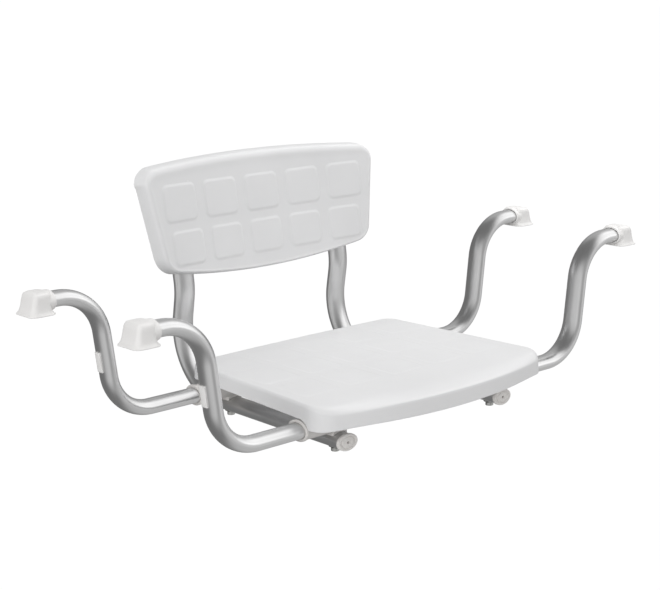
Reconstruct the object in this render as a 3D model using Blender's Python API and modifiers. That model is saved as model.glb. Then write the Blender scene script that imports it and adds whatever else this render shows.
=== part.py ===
"""Bath seat that hangs on the rims of a bath by four sliding arms.

Sizes are in metres. X runs across the bath, Y from the front edge of the seat
to the backrest and Z up. Z = 0 is the underside of the clamp bolts' heads.
The pieces are drawn with Y = 0 midway between the arms, and moved at the end
so that Y = 0 is halfway between the whole seat's front and back.
"""

import math

import bmesh
import bpy
from mathutils import Matrix, Vector

# Fits between pieces
GAP = 0.0003
SLIDE_GAP = 0.0003
NOTCH_ROOM = 0.0012

# Clamp bolts, nuts and saddle washers
HEAD_THICK = 0.0045
HEX_FLATS = 0.010
SHANK_WIDE = 0.006
BOLT_HOLE = 0.0066
NUT_THICK = 0.005
WASHER_THICK = 0.0012
WASHER_SIDE = 0.0125

# Frame tubes: oval, one each side, from under the seat to behind the backrest
FRAME_WIDE = 0.032
FRAME_TALL = 0.020
FRAME_WALL = 0.002
FRAME_X = 0.1417
FRAME_FRONT = -0.126
FRAME_BEND_Y = 0.1225
FRAME_BEND_RADIUS = 0.088
FRAME_FORWARD = math.radians(10.0)
FRAME_NECK = 0.024
FRAME_SWAY_RADIUS = 0.085
BACK_LEAN = math.radians(9.15)
FRAME_TOP = 0.148

# Front plugs of the frame tubes
PLUG_WIDE = 0.033
PLUG_TALL = 0.0222
PLUG_FLANGE = 0.004
PLUG_DEPTH = 0.012
PLUG_HOLE = 0.003
CAP_FLANGE = 0.0025

# Sliding arms: oval, bent up and out over the rim
ARM_WIDE = 0.030
ARM_TALL = 0.020
ARM_WALL = 0.002
ARM_ROW = 0.1059
ARM_LOW_RADIUS = 0.0601
ARM_BEND = math.radians(82.6)
ARM_RISER = 0.0585
ARM_HIGH_RADIUS = 0.0615
ARM_STUB = 0.022
FOOT_MOUTH = 0.0112
ARM_MEET = 0.013
ARM_TRAVEL = 0.057
SLOT_END = 0.003
ARM_OUT = {
    "front_left": 0.0510,
    "front_right": 0.0368,
    "rear_left": 0.0550,
    "rear_right": 0.0550,
}

# Sleeves that guide the arms
SLEEVE_WALL = 0.0024
SLEEVE_OUT = 0.0613
SLEEVE_IN = 0.0297
COLLAR_LONG = 0.004
COLLAR_RIM = 0.0018
ARM_CLEAR = 0.0162
SADDLE_LONG = 0.028
SADDLE_WIDE = 0.026
SADDLE_HUG = 0.005

# Rim feet and wall pads
FOOT_WALL = 0.0028
FOOT_COLLAR = 0.0055
FOOT_LONG = 0.038
FOOT_END = 0.0315
FOOT_SLANT = 0.006
FOOT_LIP_X = 0.0006
FOOT_LIP_WIDE = 0.048
FOOT_UNDER = 0.015
FOOT_OVER = 0.0128
GROOVE_WIDE = 0.002
GROOVE_DEEP = 0.0008
PAD_LONG = 0.027
PAD_WIDE = 0.0105
PAD_THICK = 0.002
PAD_UP = 0.0215

# Seat plate
SEAT_RISE = 0.0225
SEAT_BACK = 0.1430
SEAT_DEEP = 0.3305
SEAT_HALF = 0.1945
SEAT_TAPER = 0.0647
SEAT_BOW_DEEP = 0.0358
SEAT_BACK_BOW_DEEP = 0.0040
SEAT_FRONT_RADIUS = 0.033
SEAT_BACK_RADIUS = 0.022
SEAT_EDGE = 0.005
FRONT_EDGE = 0.010
FRONT_SKIRT = 0.0275
FRONT_FLARE = 0.008
SIDE_SKIRT = 0.0190
SKIRT_STEP = 0.0075
SKIRT_STEP_LONG = 0.011
SEAT_WALL = 0.0035
ROLL_LONG = 0.0535
ROLL_BOW_DEEP = 0.0170
ROLL_DROP = 0.0025
BOSS_WIDE = 0.020
RIB_THICK = 0.0024
RIB_CLEAR = 0.0045
SQUARE_RAISE = 0.0006

# Backrest panel
PANEL_MID = 0.0843
PANEL_LOW = -0.0870
PANEL_HIGH = 0.0836
PANEL_HALF = 0.1987
PANEL_TAPER = -0.168
PANEL_LOW_BOW_DEEP = 0.0193
PANEL_HIGH_BOW_DEEP = 0.0101
PANEL_LOW_RADIUS = 0.032
PANEL_HIGH_RADIUS = 0.025
PANEL_BOW_DEEP = 0.0164
PANEL_DEEP = 0.025
PANEL_WALL = 0.0035
PANEL_INSET = 0.013
TUBE_BEHIND = 0.0243
MOUNT_WIDE = 0.026
MOUNT_TALL = 0.022
PANEL_SQUARE_RAISE = 0.0012
SCREW_LOW = -0.045
SCREW_HIGH = 0.040
SCREW_WIDE = 0.005
SCREW_HOLE = 0.0056
SCREW_HEAD = 0.010
SCREW_HEAD_THICK = 0.0033
SCREW_SKIN = 0.0033

# Squares moulded on the seat and the backrest: middle and width, across
SQUARE_PITCH = 0.0745
SQUARE_WIDE = 0.061
LOW_ROW_NARROW = 0.955
SQUARE_CORNER = 0.009
SQUARE_LONG = 0.064
SQUARE_ROW_PITCH = 0.077
SQUARE_ROW_Y = 0.0135

# Curvatures that follow from the depths of the bows over half a width
SEAT_FRONT = SEAT_BACK - SEAT_DEEP
SEAT_BOW = SEAT_BOW_DEEP / SEAT_HALF**2
SEAT_BACK_BOW = SEAT_BACK_BOW_DEEP / SEAT_HALF**2
ROLL_BOW = ROLL_BOW_DEEP / SEAT_HALF**2
PANEL_BOW = PANEL_BOW_DEEP / PANEL_HALF**2
PANEL_LOW_BOW = PANEL_LOW_BOW_DEEP / PANEL_HALF**2
PANEL_HIGH_BOW = PANEL_HIGH_BOW_DEEP / PANEL_HALF**2

# Steps round the curves
OVAL_STEPS = 12
ROUND_STEPS = 12
BEND_STEP = math.radians(17.0)

# Heights that follow from the stack of pieces on a clamp bolt
WASHER_Z = HEAD_THICK + GAP
FRAME_Z = WASHER_Z + WASHER_THICK + GAP + FRAME_TALL / 2
BORE_TALL = ARM_TALL + 2 * SLIDE_GAP
BORE_WIDE = ARM_WIDE + 2 * SLIDE_GAP
SLEEVE_TALL = BORE_TALL + 2 * SLEEVE_WALL
SLEEVE_WIDE = BORE_WIDE + 2 * SLEEVE_WALL
ARM_Z = FRAME_Z + FRAME_TALL / 2 + GAP + SLEEVE_TALL / 2
BOSS_Z = ARM_Z + SLEEVE_TALL / 2 + GAP
SEAT_TOP = BOSS_Z + SEAT_RISE
NUT_Z = BOSS_Z + 0.0045
BOLT_TOP = NUT_Z + NUT_THICK + 0.005

# Where the arms' first bends begin, measured from the middle
BEND_NEAREST = FRAME_X + SLEEVE_OUT + ARM_CLEAR
ARM_INNER = BEND_NEAREST - ARM_MEET
SLOT_FROM = BEND_NEAREST - FRAME_X - BOLT_HOLE / 2 - SLOT_END
SLOT_TO = SLOT_FROM + ARM_TRAVEL + BOLT_HOLE + 2 * SLOT_END

WHITE = (0.79, 0.80, 0.82)
FOOT_WHITE = (0.86, 0.85, 0.84)
BEIGE = (0.62, 0.59, 0.56)
SILVER = (0.62, 0.63, 0.65)
ZINC = (0.42, 0.42, 0.41)


def start_scene():
    """Empty the scene and make the collections of the parts and the cutters."""
    for item in list(bpy.data.objects):
        bpy.data.objects.remove(item, do_unlink=True)
    made = []
    for name in ("bath_seat", "cutters"):
        group = bpy.data.collections.new(name)
        bpy.context.scene.collection.children.link(group)
        made.append(group)
    return made


PARTS, CUTTERS = start_scene()


def make_material(name, colour, roughness, metallic=0.0):
    material = bpy.data.materials.new(name)
    material.use_nodes = True
    shader = material.node_tree.nodes["Principled BSDF"]
    shader.inputs["Base Color"].default_value = (*colour, 1.0)
    shader.inputs["Roughness"].default_value = roughness
    shader.inputs["Metallic"].default_value = metallic
    return material


def new_tool(name, mesh, matrix=None):
    """A helper shape, kept out of the render."""
    tool = bpy.data.objects.new(name, mesh)
    tool.matrix_world = matrix or Matrix()
    tool.hide_render = True
    tool.display_type = "WIRE"
    CUTTERS.objects.link(tool)
    return tool


def mesh_of(body, name):
    mesh = bpy.data.meshes.new(name)
    body.to_mesh(mesh)
    body.free()
    return mesh


def box(name, size, place, matrix=None):
    """A box of the given size round a place, in the frame of the matrix."""
    body = bmesh.new()
    bmesh.ops.create_cube(body, size=1.0)
    bmesh.ops.scale(body, vec=Vector(size), verts=body.verts)
    bmesh.ops.translate(body, vec=Vector(place), verts=body.verts)
    return new_tool(name, mesh_of(body, name), matrix)


def rod(name, wide, tall, length, turn, place, matrix=None, steps=OVAL_STEPS):
    """A round or oval rod of the given length, turned from Z and then moved."""
    body = bmesh.new()
    bmesh.ops.create_cone(body, cap_ends=True, segments=steps, radius1=0.5, radius2=0.5, depth=1.0)
    bmesh.ops.scale(body, vec=Vector((wide, tall, length)), verts=body.verts)
    bmesh.ops.transform(body, matrix=Matrix.Translation(place) @ turn, verts=body.verts)
    return new_tool(name, mesh_of(body, name), matrix)


# Turns that lay a rod, whose width is along X and height along Y, on an axis
ALONG_X = Matrix(((0, 0, 1), (1, 0, 0), (0, 1, 0))).to_4x4()
ALONG_Y = Matrix(((1, 0, 0), (0, 0, -1), (0, 1, 0))).to_4x4()
ALONG_Z = Matrix()


def bake(target):
    """Make the shape that the modifiers give the object's own mesh."""
    graph = bpy.context.evaluated_depsgraph_get()
    mesh = bpy.data.meshes.new_from_object(target.evaluated_get(graph))
    target.modifiers.clear()
    target.data = mesh


def combine(target, tool, operation, crossing=False):
    modifier = target.modifiers.new("combine", "BOOLEAN")
    modifier.operation = operation
    modifier.solver = "EXACT"
    modifier.use_self = crossing
    modifier.object = tool
    weld = target.modifiers.new("weld", "WELD")
    weld.merge_threshold = 0.00002
    bake(target)
    bpy.data.objects.remove(tool, do_unlink=True)


def add(target, tool):
    combine(target, tool, "UNION")


def cut(target, tool):
    combine(target, tool, "DIFFERENCE")


def gather(name, tools):
    """One helper shape out of several, which may cross each other."""
    body = bmesh.new()
    for tool in tools:
        tool.data.transform(tool.matrix_world)
        body.from_mesh(tool.data)
        bpy.data.objects.remove(tool, do_unlink=True)
    return new_tool(name, mesh_of(body, name))


def add_all(target, tools):
    combine(target, gather("adds", tools), "UNION", True)


def cut_all(target, tools):
    combine(target, gather("cuts", tools), "DIFFERENCE", True)


def shell(target, thickness):
    """Give an open surface a thickness on its inner side."""
    modifier = target.modifiers.new("wall", "SOLIDIFY")
    modifier.thickness = thickness
    modifier.offset = -1.0
    modifier.use_even_offset = True
    bake(target)


def soften(target, width, angle=50.0, segments=1):
    modifier = target.modifiers.new("edges", "BEVEL")
    modifier.width = width
    modifier.segments = segments
    modifier.limit_method = "ANGLE"
    modifier.angle_limit = math.radians(angle)
    bake(target)


def finish(tool, name, material, parent=None, location=(0, 0, 0), rotation=(0, 0, 0)):
    """Turn a helper shape into a named piece at its place."""
    piece = bpy.data.objects.new(name, tool.data)
    bpy.data.objects.remove(tool, do_unlink=True)
    piece.data.name = name
    piece.data.materials.clear()
    piece.data.materials.append(material)
    piece.data.shade_smooth()
    piece.data.set_sharp_from_angle(angle=math.radians(35.0))
    PARTS.objects.link(piece)
    piece.parent = parent
    piece.location = location
    piece.rotation_euler = rotation
    return piece


def repeat(piece, name, parent=None, location=(0, 0, 0), rotation=(0, 0, 0)):
    """Another object with the same mesh as a piece."""
    twin = bpy.data.objects.new(name, piece.data)
    PARTS.objects.link(twin)
    twin.parent = parent
    twin.location = location
    twin.rotation_euler = rotation
    return twin


def run(path, heading, length):
    """Carry a path in a plane straight on."""
    across, up = path[-1]
    path.append((across + length * math.cos(heading), up + length * math.sin(heading)))


def bend(path, heading, radius, turn):
    """Carry a path round a bend and give back its new heading."""
    across, up = path[-1]
    side = 1 if turn > 0 else -1
    centre = (across - side * radius * math.sin(heading), up + side * radius * math.cos(heading))
    steps = math.ceil(abs(turn) / BEND_STEP)
    for step in range(1, steps + 1):
        angle = heading + turn * step / steps
        path.append(
            (centre[0] + side * radius * math.sin(angle), centre[1] - side * radius * math.cos(angle))
        )
    return heading + turn


def make_curve(name, points, closed=False):
    curve = bpy.data.curves.new(name, "CURVE")
    curve.dimensions = "3D"
    line = curve.splines.new("POLY")
    line.points.add(len(points) - 1)
    for point, place in zip(line.points, points):
        point.co = (*place, 1.0)
    line.use_cyclic_u = closed
    return curve


def oval_tube(name, path, wide, tall, wall):
    """Hollow oval tube along a path, with its width square to the path's plane."""
    turn = 2 * math.pi / OVAL_STEPS
    ring = []
    for step in range(OVAL_STEPS):
        ring.append((wide / 2 * math.cos(step * turn), tall / 2 * math.sin(step * turn), 0))
    profile = new_tool("profile", make_curve("profile", ring, True))
    curve = make_curve(name, path)
    curve.bevel_mode = "OBJECT"
    curve.bevel_object = profile
    curve.twist_mode = "MINIMUM"
    swept = new_tool(name, curve)
    graph = bpy.context.evaluated_depsgraph_get()
    mesh = bpy.data.meshes.new_from_object(swept.evaluated_get(graph))
    bpy.data.objects.remove(swept, do_unlink=True)
    bpy.data.objects.remove(profile, do_unlink=True)
    body = bmesh.new()
    body.from_mesh(mesh)
    bmesh.ops.remove_doubles(body, verts=body.verts, dist=0.00001)
    bmesh.ops.recalc_face_normals(body, faces=body.faces)
    tube = new_tool(name, mesh_of(body, name))
    shell(tube, wall)
    return tube


def corner_place(end, sign, bow, half, taper, radius):
    """Find the circle that touches a bowed end and a slanting side."""
    least, most = 0.0, half
    for _ in range(60):
        across = (least + most) / 2
        normal = Vector((2 * bow * across, sign)).normalized()
        centre = Vector((across, end - sign * bow * across * across)) - radius * normal
        room = (half - taper * centre.y - centre.x) / math.hypot(1, taper) - radius
        if room > 0:
            least = across
        else:
            most = across
    return across, centre, normal


def corner_arc(centre, radius, first, last, steps):
    """Points and normals round a corner."""
    start = math.atan2(first.y, first.x)
    end = math.atan2(last.y, last.x)
    places = []
    for step in range(steps + 1):
        angle = start + (end - start) * step / steps
        normal = Vector((math.cos(angle), math.sin(angle)))
        places.append((centre + radius * normal, normal))
    return places


def rounded_outline(low, high, half, taper, bows, radii, rows, columns, steps):
    """Points and outward normals round a plate with bowed ends and slanting sides.

    They run anticlockwise from the middle of the low end. The rows are the
    places of the points along a side, as fractions of it.
    """
    side = Vector((1, taper)).normalized()
    low_x, low_centre, low_normal = corner_place(low, -1, bows[0], half, taper, radii[0])
    high_x, high_centre, high_normal = corner_place(high, 1, bows[1], half, taper, radii[1])
    places = []
    for step in range(columns):
        across = low_x * step / columns
        places.append(
            (Vector((across, low + bows[0] * across**2)), Vector((2 * bows[0] * across, -1)).normalized())
        )
    places += corner_arc(low_centre, radii[0], low_normal, side, steps)
    first = places[-1][0]
    high_arc = corner_arc(high_centre, radii[1], side, high_normal, steps)
    for fraction in rows:
        places.append((first.lerp(high_arc[0][0], fraction), side))
    places += high_arc
    for step in range(columns - 1, -1, -1):
        across = high_x * step / columns
        places.append(
            (Vector((across, high - bows[1] * across**2)), Vector((2 * bows[1] * across, 1)).normalized())
        )
    for point, normal in places[-2:0:-1]:
        places.append((Vector((-point.x, point.y)), Vector((-normal.x, normal.y))))
    return places


def patch_surface(name, outline, levels, inside, corner, place):
    """Open surface: rings of the outline, then a grid that blends the last ring's sides.

    Each level gives a ring's point from an outline point and normal, inside
    gives the height of a point of the grid, and corner is the number of
    outline points from the middle of an end to the middle of its corner.
    """
    body = bmesh.new()
    count = len(outline)
    rings = []
    for level in levels:
        rings.append([body.verts.new(place(*level(point, normal))) for point, normal in outline])
    for lower, upper in zip(rings, rings[1:]):
        for step in range(count):
            after = (step + 1) % count
            body.faces.new((lower[step], lower[after], upper[after], upper[step]))
    last = rings[-1]
    flat = [Vector(levels[-1](point, normal)[:2]) for point, normal in outline]
    across = 2 * corner
    along = count // 2 - across
    grid = {}
    for i in range(across + 1):
        grid[i, 0] = (i - corner) % count
        grid[i, along] = corner + along + across - i
    for j in range(along + 1):
        grid[across, j] = corner + j
        grid[0, j] = (-corner - j) % count
    at = {key: flat[index] for key, index in grid.items()}
    verts = {key: last[index] for key, index in grid.items()}
    for i in range(1, across):
        for j in range(1, along):
            u = i / across
            v = j / along
            point = (1 - v) * at[i, 0] + v * at[i, along] + (1 - u) * at[0, j] + u * at[across, j]
            point -= (1 - u) * (1 - v) * at[0, 0] + u * (1 - v) * at[across, 0]
            point -= (1 - u) * v * at[0, along] + u * v * at[across, along]
            verts[i, j] = body.verts.new(place(point.x, point.y, inside(point.x, point.y)))
    for i in range(across):
        for j in range(along):
            body.faces.new((verts[i, j], verts[i + 1, j], verts[i + 1, j + 1], verts[i, j + 1]))
    return new_tool(name, mesh_of(body, name))


def rounded_rectangle(middle, half_long, half_wide, radius, steps=3):
    """Points round a rectangle with round corners."""
    points = []
    for corner, (sx, sy) in enumerate(((1, 1), (-1, 1), (-1, -1), (1, -1))):
        for step in range(steps + 1):
            angle = math.pi / 2 * (corner + step / steps)
            points.append(
                (
                    middle + sx * (half_long - radius) + radius * math.cos(angle),
                    sy * (half_wide - radius) + radius * math.sin(angle),
                )
            )
    return points


def loft(name, rings, matrix=None):
    """Closed body through rings of as many points each."""
    body = bmesh.new()
    rows = [[body.verts.new(point) for point in ring] for ring in rings]
    count = len(rows[0])
    for lower, upper in zip(rows, rows[1:]):
        for step in range(count):
            after = (step + 1) % count
            body.faces.new((lower[step], lower[after], upper[after], upper[step]))
    body.faces.new(list(reversed(rows[0])))
    body.faces.new(rows[-1])
    return new_tool(name, mesh_of(body, name), matrix)


def square_pad(name, wide, tall, raise_by, root, matrix, steps):
    """Low square with round corners, rooted a little way into its plate."""
    rings = []
    for height, inset in ((-root, 0.0), (raise_by, raise_by)):
        points = rounded_rectangle(0, wide / 2 - inset, tall / 2 - inset, SQUARE_CORNER - inset, steps)
        rings.append([(x, y, height) for x, y in points])
    return loft(name, rings, matrix)


def front_flare(across):
    """How far the front skirt's foot stands out beyond its upper edge."""
    return FRONT_FLARE * max(0.0, 1 - (across / SEAT_HALF) ** 2)


def seat_roll(across, along):
    """Height of the seat's surface, which slopes gently down to its front edge."""
    distance = along - (SEAT_FRONT + SEAT_BOW * across * across + front_flare(across))
    long = ROLL_LONG - (SEAT_BOW - ROLL_BOW) * across * across
    reach = min(1.0, max(0.0, 1 - distance / long))
    return -ROLL_DROP * reach * reach


def seat_level(share):
    """Ring on the rounded edge, whose radius grows from the sides to the front."""

    def level(point, normal):
        front = max(0.0, -normal.y)
        radius = SEAT_EDGE + (FRONT_EDGE - SEAT_EDGE) * front
        place = point - normal * (radius * share + front_flare(point.x) * front)
        drop = radius * (1 - math.sqrt(max(0.0, 1 - (1 - share) ** 2)))
        return place.x, place.y, seat_roll(place.x, place.y) - drop

    return level


def skirt_deep(along):
    """Depth of the skirt, which steps down at the front sleeves."""
    share = (along + ARM_ROW + SKIRT_STEP) / SKIRT_STEP_LONG
    share = min(1.0, max(0.0, share))
    return FRONT_SKIRT + (SIDE_SKIRT - FRONT_SKIRT) * share


def seat_half_at(along):
    return SEAT_HALF - SEAT_TAPER * along


def seat_body():
    """White moulded plate: flat top, sloped front, skirt, ribs and nut bosses."""
    rows = (0.05, 0.12, 0.20, 0.45, 0.72)
    outline = rounded_outline(
        SEAT_FRONT,
        SEAT_BACK,
        SEAT_HALF,
        SEAT_TAPER,
        (SEAT_BOW, SEAT_BACK_BOW),
        (SEAT_FRONT_RADIUS, SEAT_BACK_RADIUS),
        rows,
        4,
        4,
    )

    def skirt(point, normal):
        return point.x, point.y, -skirt_deep(point.y)

    levels = [skirt] + [seat_level(share) for share in (0.0, 0.13, 0.5, 1.0)]
    seat = patch_surface("seat", outline, levels, seat_roll, 4 + 2, lambda x, y, z: (x, y, z))
    shell(seat, SEAT_WALL)
    floor = BOSS_Z - SEAT_TOP
    adds = seat_ribs(floor + RIB_CLEAR)
    cuts = sleeve_notches()
    for along in (-ARM_ROW, ARM_ROW):
        for across in (-FRAME_X, FRAME_X):
            adds.append(nut_boss(across, along, floor))
            cuts += nut_room(across, along, floor)
    add_all(seat, adds)
    cut_all(seat, cuts)
    add_all(seat, seat_squares())
    return seat


def seat_ribs(low):
    """Stiffening ribs under the plate, behind the sloped front."""
    ribs = []
    high = -SEAT_WALL / 2
    tall = high - low
    middle = (high + low) / 2
    front = SEAT_FRONT + ROLL_LONG + 0.012
    back = SEAT_BACK - SEAT_WALL / 2
    for along in (front, -0.056, 0.006, 0.068):
        wide = 2 * (seat_half_at(along) - SEAT_WALL / 2)
        ribs.append(box("rib", (wide, RIB_THICK, tall), (0, along, middle)))
    for across in (-0.068, 0.004, 0.068):
        long = back - front
        ribs.append(box("rib", (RIB_THICK, long, tall), (across, (back + front) / 2, middle)))
    return ribs


def nut_boss(across, along, floor):
    high = -SEAT_WALL / 2
    place = (across, along, (floor + high) / 2)
    return rod("boss", BOSS_WIDE, BOSS_WIDE, high - floor, ALONG_Z, place, steps=16)


def nut_room(across, along, floor):
    """Bolt hole of a boss, and a pocket for its nut that opens to the middle."""
    nut = NUT_Z - SEAT_TOP
    top = BOLT_TOP - SEAT_TOP + 2 * GAP
    place = (across, along, (floor - 0.001 + top) / 2)
    tall = top - floor + 0.001
    hole = rod("bolt_hole", BOLT_HOLE, BOLT_HOLE, tall, ALONG_Z, place, steps=ROUND_STEPS)
    side = -1 if across > 0 else 1
    wide = HEX_FLATS + 2 * GAP
    corner = HEX_FLATS / math.sqrt(3) + GAP
    long = BOSS_WIDE / 2 + corner + 0.001
    middle = across + side * (long / 2 - corner)
    tall = NUT_THICK + 2 * GAP
    return [hole, box("pocket", (long, wide, tall), (middle, along, nut + NUT_THICK / 2))]


def seat_squares():
    """Faint raised squares in rows on the flat of the seat."""
    squares = []
    root = SEAT_WALL / 3
    for row in (-1, 0, 1):
        for column in (-2, -1, 0, 1, 2):
            place = (column * SQUARE_PITCH, SQUARE_ROW_Y + row * SQUARE_ROW_PITCH, 0)
            matrix = Matrix.Translation(place)
            pad = square_pad("square", SQUARE_WIDE, SQUARE_LONG, SQUARE_RAISE, root, matrix, 1)
            squares.append(pad)
    return squares


def sleeve_notches():
    """Room in the skirt for the four sleeves and their collars."""
    notches = []
    wide = SLEEVE_WIDE + 2 * COLLAR_RIM + 2 * NOTCH_ROOM
    tall = SLEEVE_TALL + 2 * COLLAR_RIM + 2 * NOTCH_ROOM
    start = FRAME_X + BOSS_WIDE / 2 + 0.012
    for side in (-1, 1):
        for along in (-ARM_ROW, ARM_ROW):
            place = (side * (start + 0.035), along, ARM_Z - SEAT_TOP)
            notches.append(rod("notch", wide, tall, 0.07, ALONG_X, place))
    return notches


def frame_path():
    """Side view of a frame tube, from its front end, as places along Y and Z."""
    path = [(FRAME_FRONT, FRAME_Z)]
    run(path, 0.0, FRAME_BEND_Y - FRAME_FRONT)
    heading = bend(path, 0.0, FRAME_BEND_RADIUS, math.pi / 2 + FRAME_FORWARD)
    run(path, heading, FRAME_NECK)
    heading = bend(path, heading, FRAME_SWAY_RADIUS, -FRAME_FORWARD - BACK_LEAN)
    return path, heading


def back_matrix():
    """Frame of the backrest: origin on its front face, Z up along the tubes, Y to the back."""
    path, heading = frame_path()
    run(path, heading, PANEL_MID)
    y, z = path[-1]
    turn = Matrix.Rotation(-BACK_LEAN, 4, "X")
    forward = turn @ Vector((0, -tube_depth(), 0))
    return Matrix.Translation(Vector((0, y, z)) + forward) @ turn


def tube_depth():
    """How far the frame tubes' axes lie behind the middle of the backrest's face."""
    return TUBE_BEHIND - PANEL_BOW * FRAME_X**2


def frame_tube():
    """Right frame tube, with its holes for the clamp bolts and backrest screws."""
    path, heading = frame_path()
    run(path, heading, FRAME_TOP)
    places = [(FRAME_X, y, z) for y, z in path]
    tube = oval_tube("frame_tube", places, FRAME_WIDE, FRAME_TALL, FRAME_WALL)
    for along in (-ARM_ROW, ARM_ROW):
        place = (FRAME_X, along, FRAME_Z)
        cut(tube, rod("bolt_hole", BOLT_HOLE, BOLT_HOLE, 0.03, ALONG_Z, place, steps=ROUND_STEPS))
    for up in (SCREW_LOW, SCREW_HIGH):
        place = (FRAME_X, tube_depth(), up)
        hole = rod("hole", SCREW_HOLE, SCREW_HOLE, 0.03, ALONG_Y, place, back_matrix(), 12)
        cut(tube, hole)
    return tube


def front_plug():
    """Plug in the front end of a frame tube: flange, ring groove, centre hole, spigot."""
    rings = []
    profile = ((0.0, 1.0), (-PLUG_FLANGE * 0.75, 1.0), (-PLUG_FLANGE, 0.92))
    for along, size in profile:
        rings.append((along, size))
    rings += [(-PLUG_FLANGE, 0.66), (-PLUG_FLANGE + 0.0006, 0.62), (-PLUG_FLANGE, 0.58)]
    bodies = []
    for along, size in rings:
        ring = []
        for step in range(OVAL_STEPS):
            angle = -2 * math.pi * step / OVAL_STEPS
            x = size * PLUG_WIDE / 2 * math.cos(angle)
            z = size * PLUG_TALL / 2 * math.sin(angle)
            ring.append((x, along, z))
        bodies.append(ring)
    plug = loft("front_plug", list(reversed(bodies)))
    wide = FRAME_WIDE - 2 * FRAME_WALL - 2 * GAP
    tall = FRAME_TALL - 2 * FRAME_WALL - 2 * GAP
    add(plug, rod("spigot", wide, tall, PLUG_DEPTH + 0.001, ALONG_Y, (0, PLUG_DEPTH / 2 - 0.0005, 0)))
    cut(plug, rod("hole", PLUG_HOLE, PLUG_HOLE, 0.012, ALONG_Y, (0, -PLUG_FLANGE, 0), steps=10))
    return plug


def cap_plug(name, wide, tall, wall):
    """Plain plug for a tube's open end: flange over the end, spigot inside, +Z outward."""
    plug = rod(name, wide, tall, CAP_FLANGE, ALONG_Z, (0, 0, GAP + CAP_FLANGE / 2))
    soften(plug, 0.0006)
    inner_wide = wide - 2 * wall - 2 * GAP
    inner_tall = tall - 2 * wall - 2 * GAP
    depth = 0.010
    add(plug, rod("spigot", inner_wide, inner_tall, depth, ALONG_Z, (0, 0, GAP + 0.001 - depth / 2)))
    return plug


def arm_path():
    """Front view of an arm from its inner end, as places outward and up from its first bend."""
    path = [(-ARM_INNER, 0.0)]
    run(path, 0.0, ARM_INNER)
    heading = bend(path, 0.0, ARM_LOW_RADIUS, ARM_BEND)
    run(path, heading, ARM_RISER)
    heading = bend(path, heading, ARM_HIGH_RADIUS, -ARM_BEND)
    return path


def arm_tube():
    """Oval arm, slotted top and bottom for its clamp bolt."""
    path = arm_path()
    run(path, 0.0, FOOT_MOUTH + ARM_STUB)
    places = [(across, 0, up) for across, up in path]
    tube = oval_tube("arm", places, ARM_WIDE, ARM_TALL, ARM_WALL)
    start = -SLOT_TO + BOLT_HOLE / 2
    end = -SLOT_FROM - BOLT_HOLE / 2
    slot = rod("slot", BOLT_HOLE, BOLT_HOLE, 0.03, ALONG_Z, (start, 0, 0), steps=ROUND_STEPS)
    add(slot, rod("slot_end", BOLT_HOLE, BOLT_HOLE, 0.03, ALONG_Z, (end, 0, 0), steps=ROUND_STEPS))
    add(slot, box("slot_middle", (end - start, BOLT_HOLE, 0.03), ((start + end) / 2, 0, 0)))
    cut(tube, slot)
    return tube


def rim_foot():
    """Flared foot with a collar, on an arm's end; X = 0 is the mouth of its socket."""
    wide = ARM_WIDE / 2 + FOOT_WALL + SLIDE_GAP
    lip = FOOT_LIP_WIDE / 2
    inner = FOOT_COLLAR
    shapes = (
        (-FOOT_UNDER, FOOT_LIP_X, FOOT_LONG, lip, 0.010),
        (-FOOT_UNDER + 0.0014, FOOT_LIP_X, FOOT_LONG, lip, 0.010),
        (-FOOT_UNDER + 0.0022, FOOT_LIP_X + 0.0008, FOOT_LONG - 0.0010, lip - 0.0012, 0.010),
        (-FOOT_UNDER + 0.0036, inner - 0.0014, FOOT_END + 0.0024, wide + 0.0034, 0.009),
        (-FOOT_UNDER + 0.0060, inner - 0.0002, FOOT_END + 0.0006, wide + 0.0016, 0.008),
        (-FOOT_UNDER + 0.0100, inner, FOOT_END - FOOT_SLANT * 0.15, wide + 0.0006, 0.0075),
        (0.0, inner, FOOT_END - FOOT_SLANT * 0.4, wide, 0.007),
        (FOOT_OVER - 0.0052, inner, FOOT_END - FOOT_SLANT * 0.8, wide - 0.0006, 0.007),
        (FOOT_OVER - 0.0018, inner, FOOT_END - FOOT_SLANT * 1.15, wide - 0.0022, 0.006),
        (FOOT_OVER, inner + 0.0012, FOOT_END - FOOT_SLANT * 1.9, wide - 0.0060, 0.005),
    )
    rings = []
    for height, start, end, half_wide, radius in shapes:
        points = rounded_rectangle((start + end) / 2, (end - start) / 2, half_wide, radius, 2)
        rings.append([(x, y, height) for x, y in points])
    foot = loft("rim_foot", rings)
    collar_wide = ARM_WIDE + 2 * FOOT_WALL
    collar_tall = ARM_TALL + 2 * FOOT_WALL
    collar = rod("collar", collar_wide, collar_tall, 0.012, ALONG_X, (0.006, 0, 0))
    add(foot, collar)
    deep = ARM_STUB + GAP
    place = (deep / 2 - 0.005, 0, 0)
    socket_wide = ARM_WIDE + 2 * SLIDE_GAP
    socket_tall = ARM_TALL + 2 * SLIDE_GAP
    cut(foot, rod("socket", socket_wide, socket_tall, deep + 0.01, ALONG_X, place))
    lip_middle = (FOOT_LIP_X + FOOT_LONG) / 2
    for across in (-0.012, -0.006, 0.006, 0.012):
        place = (lip_middle + across, 0, -FOOT_UNDER)
        cut(foot, box("groove", (GROOVE_WIDE, 0.036, 2 * GROOVE_DEEP), place))
    return foot


def wall_pad():
    """Small pad glued to the outer side of a riser; Z runs up the riser."""
    base = ARM_TALL / 2
    pad = box("wall_pad", (0.005, PAD_WIDE, PAD_LONG), (base + PAD_THICK - 0.0025, 0, 0))
    soften(pad, 0.0008)
    cut(pad, rod("tube", ARM_TALL + 2 * GAP, ARM_WIDE + 2 * GAP, 0.05, ALONG_Z, (0, 0, 0)))
    return pad


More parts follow.
